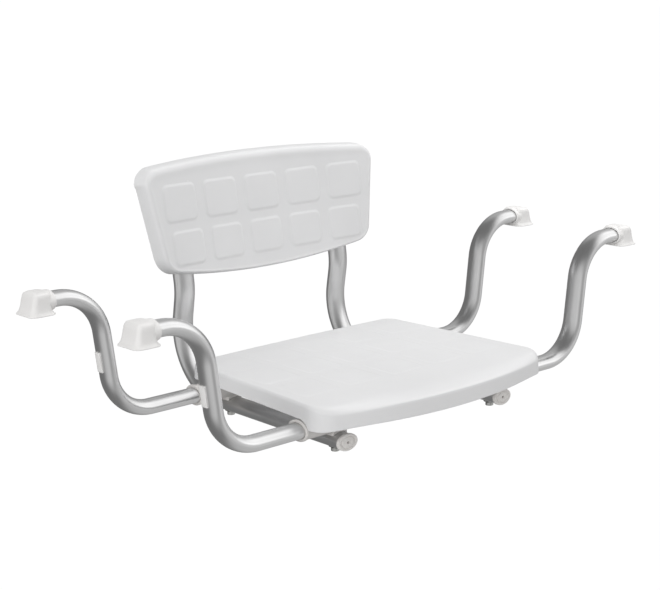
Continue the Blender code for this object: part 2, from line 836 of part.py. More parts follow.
def sleeve():
    """Guide for an arm, on a saddle over the frame tube; X points outward from the bolt."""
    middle = (SLEEVE_OUT - SLEEVE_IN) / 2
    long = SLEEVE_OUT + SLEEVE_IN
    body = rod("sleeve", SLEEVE_WIDE, SLEEVE_TALL, long, ALONG_X, (middle, 0, 0))
    rim_wide = SLEEVE_WIDE + 2 * COLLAR_RIM
    rim_tall = SLEEVE_TALL + 2 * COLLAR_RIM
    place = (SLEEVE_OUT - COLLAR_LONG / 2 + 0.0002, 0, 0)
    rim = rod("rim", rim_wide, rim_tall, COLLAR_LONG, ALONG_X, place)
    soften(rim, 0.0008)
    add(body, rim)
    frame_drop = ARM_Z - FRAME_Z
    low = -frame_drop + FRAME_TALL / 2 - SADDLE_HUG
    high = SLEEVE_TALL / 2
    saddle = box("saddle", (SADDLE_LONG, SADDLE_WIDE, high - low), (0, 0, (high + low) / 2))
    soften(saddle, 0.0015)
    add(body, saddle)
    bore_place = (middle, 0, 0)
    cut(body, rod("bore", BORE_WIDE, BORE_TALL, long + 0.02, ALONG_X, bore_place))
    frame_place = (0, 0, -frame_drop)
    frame_wide = FRAME_WIDE + 2 * GAP
    frame_tall = FRAME_TALL + 2 * GAP
    cut(body, rod("frame", frame_wide, frame_tall, 0.06, ALONG_Y, frame_place))
    cut(body, rod("bolt_hole", BOLT_HOLE, BOLT_HOLE, 0.06, ALONG_Z, (0, 0, 0), steps=ROUND_STEPS))
    return body


def hex_prism(name, height, low):
    turn = Matrix.Rotation(math.radians(30), 4, "Z")
    wide = 2 * HEX_FLATS / math.sqrt(3)
    return rod(name, wide, wide, height, turn, (0, 0, low + height / 2), steps=6)


def clamp_bolt():
    """Hexagon bolt whose head is at Z = 0."""
    bolt = hex_prism("clamp_bolt", HEAD_THICK, 0.0)
    soften(bolt, 0.0004)
    long = BOLT_TOP - HEAD_THICK + 0.001
    place = (0, 0, BOLT_TOP - long / 2)
    shank = rod("shank", SHANK_WIDE, SHANK_WIDE, long, ALONG_Z, place, steps=ROUND_STEPS)
    soften(shank, 0.0006)
    add(bolt, shank)
    return bolt


def captive_nut():
    nut = hex_prism("captive_nut", NUT_THICK, 0.0)
    soften(nut, 0.0004)
    place = (0, 0, NUT_THICK / 2)
    cut(nut, rod("thread", BOLT_HOLE, BOLT_HOLE, 0.02, ALONG_Z, place, steps=ROUND_STEPS))
    return nut


def saddle_washer():
    """Washer with a hollow top that fits the frame tube."""
    tall = WASHER_THICK + 0.002
    washer = box("washer", (WASHER_SIDE, WASHER_SIDE, tall), (0, 0, tall / 2))
    soften(washer, 0.001)
    place = (0, 0, FRAME_Z - WASHER_Z)
    frame_wide = FRAME_WIDE + 2 * GAP
    frame_tall = FRAME_TALL + 2 * GAP
    cut(washer, rod("frame", frame_wide, frame_tall, 0.05, ALONG_Y, place))
    cut(washer, rod("hole", BOLT_HOLE, BOLT_HOLE, 0.03, ALONG_Z, (0, 0, 0), steps=ROUND_STEPS))
    return washer


def panel_level(depth, inset):
    """Ring on the rolled edge of the backrest, deeper at its rear rim."""

    def level(point, normal):
        wider = 1 + 0.45 * max(0.0, normal.y) - 0.65 * max(0.0, -normal.y)
        place = point - normal * inset * wider
        return place.x, place.y, depth

    return level


def panel_place(across, up, depth):
    return across, depth - PANEL_BOW * across * across, up


def panel_body():
    """White moulded backrest: curved face, rolled rim, squares, ribs and tube seats."""
    outline = rounded_outline(
        PANEL_LOW,
        PANEL_HIGH,
        PANEL_HALF,
        PANEL_TAPER,
        (PANEL_LOW_BOW, PANEL_HIGH_BOW),
        (PANEL_LOW_RADIUS, PANEL_HIGH_RADIUS),
        (0.33, 0.67),
        5,
        4,
    )
    steps = ((1.0, 0.0), (0.4, 0.11), (0.17, 0.32), (0.05, 0.62), (0.0, 1.0))
    levels = [panel_level(deep * PANEL_DEEP, inset * PANEL_INSET) for deep, inset in steps]
    panel = patch_surface("panel", outline, levels, lambda x, y: 0.0, 5 + 2, panel_place)
    shell(panel, PANEL_WALL)
    adds = panel_ribs() + panel_squares()
    cuts = []
    for side in (-1, 1):
        cuts += tube_room(side)
        for up in (SCREW_LOW, SCREW_HIGH):
            adds.append(tube_seat(side, up))
            cuts.append(screw_room(side, up))
    add_all(panel, adds)
    cut_all(panel, cuts)
    return panel


def panel_ribs():
    """Curved ribs across the back of the panel."""
    ribs = []
    for up in (-0.012, 0.045):
        half = PANEL_HALF - PANEL_TAPER * up - PANEL_INSET * 0.6
        tall = PANEL_WALL / 2 + 0.0065
        body = bmesh.new()
        bmesh.ops.create_grid(body, x_segments=10, y_segments=1, size=0.5)
        bmesh.ops.scale(body, vec=Vector((2 * half, tall, 1)), verts=body.verts)
        front = PANEL_WALL / 2
        bmesh.ops.translate(body, vec=Vector((0, front + tall / 2, up)), verts=body.verts)
        for vert in body.verts:
            vert.co.y -= PANEL_BOW * vert.co.x**2
        rib = new_tool("rib", mesh_of(body, "rib"))
        modifier = rib.modifiers.new("thickness", "SOLIDIFY")
        modifier.thickness = RIB_THICK
        modifier.offset = 0.0
        bake(rib)
        ribs.append(rib)
    return ribs


def tube_seat(side, up):
    """Block behind the panel that bears on the frame tube."""
    inner = FRAME_X - MOUNT_WIDE / 2
    outer = FRAME_X + MOUNT_WIDE / 2
    start = (PANEL_WALL - PANEL_BOW * (inner**2 + outer**2)) / 2
    end = tube_depth() - FRAME_TALL / 4
    place = (side * FRAME_X, (start + end) / 2, up)
    return box("tube_seat", (MOUNT_WIDE, end - start, MOUNT_TALL), place)


def screw_room(side, up):
    tip = -PANEL_BOW * FRAME_X**2 + SCREW_SKIN - 0.0005
    long = 0.05
    place = (side * FRAME_X, tip + long / 2, up)
    return rod("screw_hole", SCREW_HOLE, SCREW_HOLE, long, ALONG_Y, place, steps=12)


def tube_room(side):
    """The frame tube's shape for the blocks, and some room round it for the rim."""
    place = (side * FRAME_X, tube_depth(), 0.0)
    wide = FRAME_WIDE + 2 * GAP
    tall = FRAME_TALL + 2 * GAP
    long = 2 * (FRAME_TOP - PANEL_MID)
    tube = rod("tube", wide, tall, long, ALONG_Z, place)
    place = (side * FRAME_X, tube_depth(), PANEL_LOW)
    room = 2 * NOTCH_ROOM
    return [tube, rod("tube", FRAME_WIDE + room, FRAME_TALL + room, 0.05, ALONG_Z, place)]


def panel_squares():
    """Two rows of raised squares, each set square to the curved face."""
    squares = []
    for up, tall in ((0.0215, 0.054), (-0.0405, 0.050)):
        for column in (-2, -1, 0, 1, 2):
            narrow = 1.0 if up > 0 else LOW_ROW_NARROW
            across = column * SQUARE_PITCH * narrow
            wide = SQUARE_WIDE * narrow
            slope = math.atan(-2 * PANEL_BOW * across)
            turn = Matrix.Rotation(slope, 4, "Z") @ Matrix.Rotation(math.pi / 2, 4, "X")
            matrix = Matrix.Translation((across, -PANEL_BOW * across**2, up)) @ turn
            root = PANEL_WALL / 2
            squares.append(square_pad("square", wide, tall, PANEL_SQUARE_RAISE, root, matrix, 2))
    return squares


def backrest_screw():
    """Pan head screw; it points to -Y and the head's underside is at Y = 0."""
    head = rod(
        "screw", SCREW_HEAD, SCREW_HEAD, SCREW_HEAD_THICK, ALONG_Y, (0, SCREW_HEAD_THICK / 2, 0), steps=12
    )
    soften(head, 0.0008)
    depth = tube_depth() + FRAME_TALL / 2 + GAP
    tip = -PANEL_BOW * FRAME_X**2 + SCREW_SKIN
    long = depth - tip
    place = (0, 0.0005 - long / 2 + 0.00025, 0)
    add(head, rod("shank", SCREW_WIDE, SCREW_WIDE, long + 0.0005, ALONG_Y, place, steps=12))
    return head


def build():
    white = make_material("seat_white", WHITE, 0.42)
    panel_white = make_material("panel_white", WHITE, 0.40)
    foot_white = make_material("foot_white", FOOT_WHITE, 0.45)
    beige = make_material("sleeve_beige", BEIGE, 0.50)
    plug_beige = make_material("plug_beige", BEIGE, 0.50)
    frame_silver = make_material("frame_aluminium", SILVER, 0.34, 0.9)
    arm_silver = make_material("arm_aluminium", SILVER, 0.34, 0.9)
    zinc = make_material("zinc_steel", ZINC, 0.40, 0.9)

    finish(seat_body(), "seat_plate", white, location=(0, 0, SEAT_TOP))
    back = back_matrix()
    place = back.to_translation()
    lean = (-BACK_LEAN, 0, 0)
    finish(panel_body(), "backrest_panel", panel_white, location=place, rotation=lean)

    build_frame(frame_silver, plug_beige, zinc, back)
    build_arms(arm_silver, foot_white, plug_beige)
    build_clamps(beige, zinc)
    centre_along()


def centre_along():
    """Move everything so that Y = 0 is halfway between the front and the back."""
    bpy.context.view_layer.update()
    places = []
    for piece in PARTS.objects:
        for vert in piece.data.vertices:
            places.append((piece.matrix_world @ vert.co).y)
    middle = (min(places) + max(places)) / 2
    for piece in PARTS.objects:
        if piece.parent is None:
            piece.location.y -= middle


def build_frame(silver, beige, zinc, back):
    """Frame tubes with their plugs and the backrest's screws."""
    right = finish(frame_tube(), "right_frame_tube", silver)
    mirror = right.data.copy()
    mirror.transform(Matrix.Scale(-1, 4, (1, 0, 0)))
    mirror.flip_normals()
    left = repeat(right, "left_frame_tube")
    left.data = mirror
    plug = None
    cap = None
    top = back @ Vector((0, tube_depth(), FRAME_TOP - PANEL_MID))
    for name, side in (("left", -1), ("right", 1)):
        place = (side * FRAME_X, FRAME_FRONT - GAP, FRAME_Z)
        if plug is None:
            plug = finish(front_plug(), name + "_front_plug", beige, location=place)
            shape = cap_plug("top_plug", FRAME_WIDE, FRAME_TALL, FRAME_WALL)
            place = (side * FRAME_X, top.y, top.z)
            cap = finish(shape, name + "_top_plug", beige, location=place, rotation=(-BACK_LEAN, 0, 0))
        else:
            repeat(plug, name + "_front_plug", location=place)
            place = (side * FRAME_X, top.y, top.z)
            repeat(cap, name + "_top_plug", location=place, rotation=(-BACK_LEAN, 0, 0))
    screw = None
    depth = tube_depth() + FRAME_TALL / 2 + GAP
    for level, up in (("upper", SCREW_HIGH), ("lower", SCREW_LOW)):
        for name, side in (("left", -1), ("right", 1)):
            place = back @ Vector((side * FRAME_X, depth, up))
            title = level + "_" + name + "_screw"
            if screw is None:
                screw = finish(backrest_screw(), title, zinc, location=place, rotation=(-BACK_LEAN, 0, 0))
            else:
                repeat(screw, title, location=place, rotation=(-BACK_LEAN, 0, 0))


def corners():
    """The four corners: name, side across, place along."""
    for row, along in (("front", -ARM_ROW), ("rear", ARM_ROW)):
        for name, side in (("left", -1), ("right", 1)):
            yield row + "_" + name, side, along


def build_arms(silver, white, beige):
    """Each arm carries its foot, its wall pad and its end plug."""
    path = arm_path()
    end = path[-1]
    riser_low = path[-2 - math.ceil(ARM_BEND / BEND_STEP)]
    pad_place = (
        riser_low[0] + PAD_UP * math.cos(ARM_BEND),
        0,
        riser_low[1] + PAD_UP * math.sin(ARM_BEND),
    )
    pad_turn = (0, math.pi / 2 - ARM_BEND, 0)
    made = {}

    def place(kind, make, name, material, parent, location, rotation=(0, 0, 0)):
        if kind in made:
            return repeat(made[kind], name, parent, location, rotation)
        made[kind] = finish(make(), name, material, parent, location, rotation)
        return made[kind]

    for name, side, along in corners():
        start = (side * (BEND_NEAREST + ARM_OUT[name]), along, ARM_Z)
        facing = (0, 0, 0 if side > 0 else math.pi)
        arm = place("arm", arm_tube, name + "_arm", silver, None, start, facing)
        place("foot", rim_foot, name + "_rim_foot", white, arm, (end[0] + FOOT_MOUTH, 0, end[1]))
        place("pad", wall_pad, name + "_wall_pad", white, arm, pad_place, pad_turn)

        def arm_cap():
            return cap_plug("arm_plug", ARM_TALL, ARM_WIDE, ARM_WALL)

        plug_turn = (0, -math.pi / 2, 0)
        place("plug", arm_cap, name + "_arm_plug", beige, arm, (-ARM_INNER, 0, 0), plug_turn)


def build_clamps(beige, zinc):
    """Sleeve, bolt, washer and nut at each corner."""
    made = {}

    def place(kind, make, name, material, location, rotation=(0, 0, 0)):
        if kind in made:
            return repeat(made[kind], name, None, location, rotation)
        made[kind] = finish(make(), name, material, None, location, rotation)
        return made[kind]

    for name, side, along in corners():
        facing = (0, 0, 0 if side > 0 else math.pi)
        across = side * FRAME_X
        place("sleeve", sleeve, name + "_sleeve", beige, (across, along, ARM_Z), facing)
        place("bolt", clamp_bolt, name + "_clamp_bolt", zinc, (across, along, 0))
        place("washer", saddle_washer, name + "_saddle_washer", zinc, (across, along, WASHER_Z))
        place("nut", captive_nut, name + "_captive_nut", zinc, (across, along, NUT_Z))


build()
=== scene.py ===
"""Dressed scene of the bath seat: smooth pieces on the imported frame, light and camera.

Metres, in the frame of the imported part: X across the bath, Y to the backrest, Z up.
"""

import math

import bmesh
import bpy
from mathutils import Matrix, Vector


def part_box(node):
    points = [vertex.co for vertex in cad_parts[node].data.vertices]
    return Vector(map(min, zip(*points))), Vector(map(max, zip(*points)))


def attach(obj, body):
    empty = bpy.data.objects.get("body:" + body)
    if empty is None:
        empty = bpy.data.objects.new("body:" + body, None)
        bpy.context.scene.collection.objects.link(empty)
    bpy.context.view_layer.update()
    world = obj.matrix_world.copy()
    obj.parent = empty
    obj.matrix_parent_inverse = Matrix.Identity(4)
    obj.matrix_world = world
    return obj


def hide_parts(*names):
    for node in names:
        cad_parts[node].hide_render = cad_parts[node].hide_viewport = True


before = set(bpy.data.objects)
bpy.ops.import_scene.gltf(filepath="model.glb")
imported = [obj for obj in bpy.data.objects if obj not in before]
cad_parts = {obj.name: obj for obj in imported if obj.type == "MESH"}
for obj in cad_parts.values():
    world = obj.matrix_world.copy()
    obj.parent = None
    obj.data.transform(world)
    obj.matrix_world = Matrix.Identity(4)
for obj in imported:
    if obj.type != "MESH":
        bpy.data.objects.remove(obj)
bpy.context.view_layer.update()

# Fits of the part: a gap between pieces that meet, and room round a piece in a notch
GAP, ROOM = 0.0003, 0.0012

# Frame tubes, arms and sleeves, as in the part
FRAME_WIDE, FRAME_TALL, FRAME_WALL = 0.032, 0.020, 0.002
FRAME_X = 0.1417
FRAME_FRONT, FRAME_BEND_Y = -0.126, 0.1225
FRAME_BEND_RADIUS, FRAME_NECK, FRAME_SWAY_RADIUS = 0.088, 0.024, 0.085
FRAME_FORWARD, BACK_LEAN = math.radians(10.0), math.radians(9.15)
FRAME_TOP = 0.148
FRAME_Z = 0.0163
ARM_WIDE, ARM_TALL, ARM_WALL = 0.030, 0.020, 0.002
ARM_ROW = 0.1059
ARM_LOW_RADIUS, ARM_HIGH_RADIUS = 0.0601, 0.0615
ARM_BEND, ARM_RISER = math.radians(82.6), 0.0585
ARM_STUB, FOOT_MOUTH = 0.022, 0.0112
ARM_INNER = 0.2062
ARM_Z = 0.0393
SLOT_FROM, SLOT_TO, BOLT_HOLE = 0.0712, 0.1408, 0.0066
SLEEVE_WALL, SLEEVE_OUT, SLEEVE_IN = 0.0024, 0.0613, 0.0297

# Seat plate, as in the part
SEAT_TOP = 0.0748
SEAT_BACK, SEAT_DEEP, SEAT_HALF, SEAT_TAPER = 0.1430, 0.3305, 0.1945, 0.0647
SEAT_FRONT = SEAT_BACK - SEAT_DEEP
SEAT_BOW = 0.0358 / SEAT_HALF**2
SEAT_BACK_BOW = 0.0040 / SEAT_HALF**2
ROLL_BOW = 0.0170 / SEAT_HALF**2
SEAT_FRONT_RADIUS, SEAT_BACK_RADIUS = 0.033, 0.022
SEAT_EDGE, FRONT_EDGE, SEAT_WALL = 0.005, 0.010, 0.0035
FRONT_SKIRT, FRONT_FLARE, SIDE_SKIRT = 0.0275, 0.008, 0.0203
SKIRT_STEP, SKIRT_STEP_LONG, SKIRT_DRAFT = 0.0075, 0.011, 0.0008
CORNER_DIP, CORNER_FROM, CORNER_TO = 0.0035, 0.170, 0.140
ROLL_LONG, ROLL_DROP = 0.0535, 0.0025

# Backrest panel and the raised squares, as in the part
PANEL_MID = 0.0843
PANEL_LOW, PANEL_HIGH, PANEL_HALF, PANEL_TAPER = -0.0870, 0.0836, 0.1987, -0.168
PANEL_LOW_BOW = 0.0193 / PANEL_HALF**2
PANEL_HIGH_BOW = 0.0101 / PANEL_HALF**2
PANEL_BOW = 0.0164 / PANEL_HALF**2
PANEL_LOW_RADIUS, PANEL_HIGH_RADIUS = 0.032, 0.025
PANEL_DEEP, PANEL_WALL, PANEL_INSET = 0.025, 0.0035, 0.013
PANEL_DISH = 0.00045
TUBE_BEHIND = 0.0243
SQUARE_PITCH, SQUARE_WIDE, LOW_ROW_NARROW = 0.0745, 0.061, 0.955
SQUARE_LONG, SQUARE_ROW_PITCH, SQUARE_ROW_Y = 0.064, 0.077, 0.0135

# The part is centred along Y, so its own places are moved by this much
arm_low, arm_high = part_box("rear_left_arm")
SHIFT = (arm_low.y + arm_high.y) / 2 - ARM_ROW

CORNERS = (
    ("front_left", -1, -ARM_ROW),
    ("front_right", 1, -ARM_ROW),
    ("rear_left", -1, ARM_ROW),
    ("rear_right", 1, ARM_ROW),
)


# Materials


def new_material(name):
    material = bpy.data.materials.new(name)
    material.use_nodes = True
    tree = material.node_tree
    return material, tree, tree.nodes["Principled BSDF"]


def noise(tree, scale, detail, rough, vector):
    node = tree.nodes.new("ShaderNodeTexNoise")
    node.inputs["Scale"].default_value = scale
    node.inputs["Detail"].default_value = detail
    node.inputs["Roughness"].default_value = rough
    tree.links.new(vector, node.inputs["Vector"])
    return node.outputs["Fac"]


# Most of a noise lies between these
NOISE_LOW, NOISE_HIGH = 0.3, 0.7


def ramp(tree, source, low, high):
    """Map a noise to a range of numbers."""
    node = tree.nodes.new("ShaderNodeMapRange")
    node.inputs["From Min"].default_value = NOISE_LOW
    node.inputs["From Max"].default_value = NOISE_HIGH
    node.inputs["To Min"].default_value = low
    node.inputs["To Max"].default_value = high
    tree.links.new(source, node.inputs["Value"])
    return node.outputs["Result"]


def tint(tree, source, first, second):
    """Map a noise to a range of colours."""
    node = tree.nodes.new("ShaderNodeValToRGB")
    node.color_ramp.elements[0].position = NOISE_LOW
    node.color_ramp.elements[0].color = (*first, 1)
    node.color_ramp.elements[1].position = NOISE_HIGH
    node.color_ramp.elements[1].color = (*second, 1)
    tree.links.new(source, node.inputs["Fac"])
    return node.outputs["Color"]


def bump(tree, shader, layers):
    """Chain bumps of (height, strength, distance)."""
    last = None
    for height, strength, distance in layers:
        node = tree.nodes.new("ShaderNodeBump")
        node.inputs["Strength"].default_value = strength
        node.inputs["Distance"].default_value = distance
        tree.links.new(height, node.inputs["Height"])
        if last:
            tree.links.new(last, node.inputs["Normal"])
        last = node.outputs["Normal"]
    tree.links.new(last, shader.inputs["Normal"])


def place_of(tree, kind="Object"):
    return tree.nodes.new("ShaderNodeTexCoord").outputs[kind]


def plastic(name, first, second, rough, grain=900.0):
    """Moulded plastic: slight drift of colour and gloss, fine moulded grain, sink waves."""
    material, tree, shader = new_material(name)
    place = place_of(tree)
    broad = noise(tree, 9.0, 3.0, 0.55, place)
    fine = noise(tree, grain, 3.0, 0.6, place)
    speck = noise(tree, 240.0, 2.0, 0.6, place)
    tree.links.new(tint(tree, broad, first, second), shader.inputs["Base Color"])
    tree.links.new(ramp(tree, speck, rough - 0.05, rough + 0.06), shader.inputs["Roughness"])
    bump(tree, shader, ((broad, 0.25, 0.0004), (fine, 0.35, 0.00006)))
    shader.inputs["Specular IOR Level"].default_value = 0.5
    return material


def metal(name, first, second, rough, streaks):
    """Satin metal: etched grain, and fine draw lines along the tube."""
    material, tree, shader = new_material(name)
    shader.inputs["Metallic"].default_value = 1.0
    place = place_of(tree)
    broad = noise(tree, 14.0, 3.0, 0.5, place)
    grain = noise(tree, 2600.0, 2.0, 0.6, place)
    tree.links.new(tint(tree, broad, first, second), shader.inputs["Base Color"])
    layers = [(grain, 0.30, 0.00003)]
    gloss = grain
    if streaks:
        along = tree.nodes.new("ShaderNodeMapping")
        along.inputs["Scale"].default_value = (6.0, 900.0, 1.0)
        tree.links.new(place_of(tree, "UV"), along.inputs["Vector"])
        gloss = noise(tree, 1.0, 3.0, 0.6, along.outputs["Vector"])
        layers.append((gloss, 0.12, 0.00003))
    tree.links.new(ramp(tree, gloss, rough - 0.035, rough + 0.045), shader.inputs["Roughness"])
    bump(tree, shader, layers)
    return material


# Colours that each finish drifts between, and the moulded grain of the small pieces
MOULDED = (0.745, 0.745, 0.750), (0.775, 0.775, 0.780)
ALUMINIUM = (0.69, 0.69, 0.69), (0.74, 0.74, 0.74)
FOOT_COLOURS = (0.830, 0.820, 0.810), (0.860, 0.850, 0.840)
SLEEVE_COLOURS = (0.700, 0.680, 0.660), (0.740, 0.720, 0.700)
PLUG_COLOURS = (0.790, 0.765, 0.740), (0.830, 0.805, 0.780)
FINE_GRAIN = 1500.0
FINISH = {
    "seat_white": plastic("seat_white", *MOULDED, 0.42),
    "panel_white": plastic("panel_white", *MOULDED, 0.40),
    "foot_white": plastic("foot_white", *FOOT_COLOURS, 0.38, FINE_GRAIN),
    "sleeve_beige": plastic("sleeve_beige", *SLEEVE_COLOURS, 0.45, FINE_GRAIN),
    "plug_beige": plastic("plug_beige", *PLUG_COLOURS, 0.45, FINE_GRAIN),
    "frame_aluminium": metal("frame_aluminium", *ALUMINIUM, 0.32, True),
    "arm_aluminium": metal("arm_aluminium", *ALUMINIUM, 0.32, True),
    "zinc_steel": metal("zinc_steel", (0.42, 0.42, 0.41), (0.52, 0.52, 0.50), 0.36, False),
}


# Shapes


def take(name, body):
    """Object with the shape of a mesh that was built up."""
    mesh = bpy.data.meshes.new(name)
    bmesh.ops.recalc_face_normals(body, faces=body.faces)
    body.to_mesh(mesh)
    body.free()
    item = bpy.data.objects.new(name, mesh)
    bpy.context.scene.collection.objects.link(item)
    return item


def bake(item):
    """Keep what the modifiers make of a shape, and drop them."""
    graph = bpy.context.evaluated_depsgraph_get()
    mesh = bpy.data.meshes.new_from_object(item.evaluated_get(graph))
    item.modifiers.clear()
    item.data = mesh


def finish(item, name, slot, body, *nodes, angle=40.0):
    """Name a piece, give it its finish, and let it ride on its body for its nodes."""
    item.name = name
    item.data.name = name
    item.data.materials.clear()
    item.data.materials.append(FINISH[slot])
    item.data.shade_smooth()
    item.data.set_sharp_from_angle(angle=math.radians(angle))
    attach(item, body)
    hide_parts(*nodes)


def lay(shape, matrix, name, slot, body, node):
    """Finished copy of a shape at its place."""
    piece = bpy.data.objects.new(name, shape.data.copy())
    bpy.context.scene.collection.objects.link(piece)
    piece.data.transform(matrix)
    finish(piece, name, slot, body, node)


def drop(*items):
    """Take shapes away that were only needed to make others."""
    for item in items:
        bpy.data.objects.remove(item, do_unlink=True)


def combine(target, tool, operation="DIFFERENCE"):
    """Cut a shape by a tool, or join or cross them; the tool is used up."""
    modifier = target.modifiers.new("combine", "BOOLEAN")
    modifier.operation = operation
    modifier.solver = "EXACT"
    modifier.object = tool
    bake(target)
    drop(tool)


def soften(target, width, segments):
    """Round the sharp edges."""
    modifier = target.modifiers.new("edges", "BEVEL")
    modifier.width = width
    modifier.segments = segments
    modifier.limit_method = "ANGLE"
    modifier.angle_limit = math.radians(40.0)
    bake(target)


def box(name, size, place):
    body = bmesh.new()
    bmesh.ops.create_cube(body, size=1.0)
    bmesh.ops.scale(body, vec=Vector(size), verts=body.verts)
    bmesh.ops.translate(body, vec=Vector(place), verts=body.verts)
    return take(name, body)


ALONG_X = Matrix(((0, 0, 1), (1, 0, 0), (0, 1, 0))).to_4x4()
ALONG_Y = Matrix(((1, 0, 0), (0, 0, -1), (0, 1, 0))).to_4x4()
ALONG_Z = Matrix()


def rod(name, wide, tall, length, turn, place, steps=48):
    """Oval rod; turn takes its length from Z to another way."""
    body = bmesh.new()
    bmesh.ops.create_cone(body, cap_ends=True, segments=steps, radius1=0.5, radius2=0.5, depth=1.0)
    bmesh.ops.scale(body, vec=Vector((wide, tall, length)), verts=body.verts)
    bmesh.ops.transform(body, matrix=Matrix.Translation(place) @ turn, verts=body.verts)
    return take(name, body)


def bridge(body, rings):
    """Faces between closed rings of as many points each."""
    count = len(rings[0])
    for lower, upper in zip(rings, rings[1:]):
        for step in range(count):
            after = (step + 1) % count
            body.faces.new((lower[step], lower[after], upper[after], upper[step]))


def oval(half_wide, half_tall, steps, turn=1):
    """Points round an oval, anticlockwise, or clockwise where turn is -1."""
    angles = [turn * 2 * math.pi * step / steps for step in range(steps)]
    return [(half_wide * math.cos(angle), half_tall * math.sin(angle)) for angle in angles]


def loft(name, rings, ends=True):
    """Skin over rings of points."""
    body = bmesh.new()
    rows = [[body.verts.new(point) for point in ring] for ring in rings]
    bridge(body, rows)
    if ends:
        body.faces.new(list(reversed(rows[0])))
        body.faces.new(rows[-1])
    return take(name, body)


def join(items):
    """Fold shapes into the first one."""
    body = bmesh.new()
    for item in items:
        body.from_mesh(item.data)
    first, *others = items
    drop(*others)
    body.to_mesh(first.data)
    body.free()
    return first


def ease(share):
    """Smooth step from 0 to 1."""
    share = min(1.0, max(0.0, share))
    return share * share * (3 - 2 * share)


def run(path, heading, length, steps=1):
    """Straight piece of a flat path of (across, up) points."""
    across, up = path[-1]
    for step in range(1, steps + 1):
        part = length * step / steps
        path.append((across + part * math.cos(heading), up + part * math.sin(heading)))


def bend(path, heading, radius, turn, steps):
    """Arc of a flat path; gives the heading after it."""
    reach = math.copysign(radius, turn)
    across = path[-1][0] - reach * math.sin(heading)
    up = path[-1][1] + reach * math.cos(heading)
    for step in range(1, steps + 1):
        angle = heading + turn * step / steps
        path.append((across + reach * math.sin(angle), up - reach * math.cos(angle)))
    return heading + turn


def sweep(name, path, across, wide, tall, steps=48):
    """Oval tube along a path; its UV runs along and round it in metres."""
    body = bmesh.new()
    layer = body.loops.layers.uv.new("along")
    rings = []
    marks = []
    travelled = 0.0
    for index, place in enumerate(path):
        before = path[max(index - 1, 0)]
        after = path[min(index + 1, len(path) - 1)]
        tangent = (after - before).normalized()
        normal = across.cross(tangent)
        if index:
            travelled += (place - before).length
        points = oval(wide / 2, tall / 2, steps)
        rings.append([body.verts.new(place + (across * x + normal * y)) for x, y in points])
        marks.append(travelled)
    girth = math.pi * (wide + tall) / 2
    for row in range(len(rings) - 1):
        for step in range(steps):
            after = (step + 1) % steps
            face = body.faces.new(
                (rings[row][step], rings[row][after], rings[row + 1][after], rings[row + 1][step])
            )
            corners = ((row, step), (row, step + 1), (row + 1, step + 1), (row + 1, step))
            for loop, (at, turn) in zip(face.loops, corners):
                loop[layer].uv = (marks[at], girth * turn / steps)
    body.faces.new(list(reversed(rings[0])))
    body.faces.new(rings[-1])
    return take(name, body)


def corner_place(end, sign, bow, half, taper, radius):
    """Circle that touches a bowed end and a slanting side."""
    least, most = 0.0, half
    for _ in range(60):
        across = (least + most) / 2
        normal = Vector((2 * bow * across, sign)).normalized()
        centre = Vector((across, end - sign * bow * across * across)) - radius * normal
        if (half - taper * centre.y - centre.x) / math.hypot(1, taper) > radius:
            least = across
        else:
            most = across
    return across, centre, normal


def corner_arc(centre, radius, first, last, steps):
    """Points and normals round a corner, from one normal to another."""
    start = math.atan2(first.y, first.x)
    end = math.atan2(last.y, last.x)
    places = []
    for step in range(steps + 1):
        angle = start + (end - start) * step / steps
        normal = Vector((math.cos(angle), math.sin(angle)))
        places.append((centre + radius * normal, normal))
    return places


def rounded_outline(low, high, half, taper, bows, radii, rows, columns, steps):
    """Points and outward normals round a plate, anticlockwise from its low end's middle."""
    side = Vector((1, taper)).normalized()
    low_x, low_centre, low_normal = corner_place(low, -1, bows[0], half, taper, radii[0])
    high_x, high_centre, high_normal = corner_place(high, 1, bows[1], half, taper, radii[1])
    places = []
    for step in range(columns):
        across = low_x * step / columns
        normal = Vector((2 * bows[0] * across, -1)).normalized()
        places.append((Vector((across, low + bows[0] * across**2)), normal))
    places += corner_arc(low_centre, radii[0], low_normal, side, steps)
    first = places[-1][0]
    high_arc = corner_arc(high_centre, radii[1], side, high_normal, steps)
    for fraction in rows:
        places.append((first.lerp(high_arc[0][0], fraction), side))
    places += high_arc
    for step in range(columns - 1, -1, -1):
        across = high_x * step / columns
        normal = Vector((2 * bows[1] * across, 1)).normalized()
        places.append((Vector((across, high - bows[1] * across**2)), normal))
    for point, normal in places[-2:0:-1]:
        places.append((Vector((-point.x, point.y)), Vector((-normal.x, normal.y))))
    return places


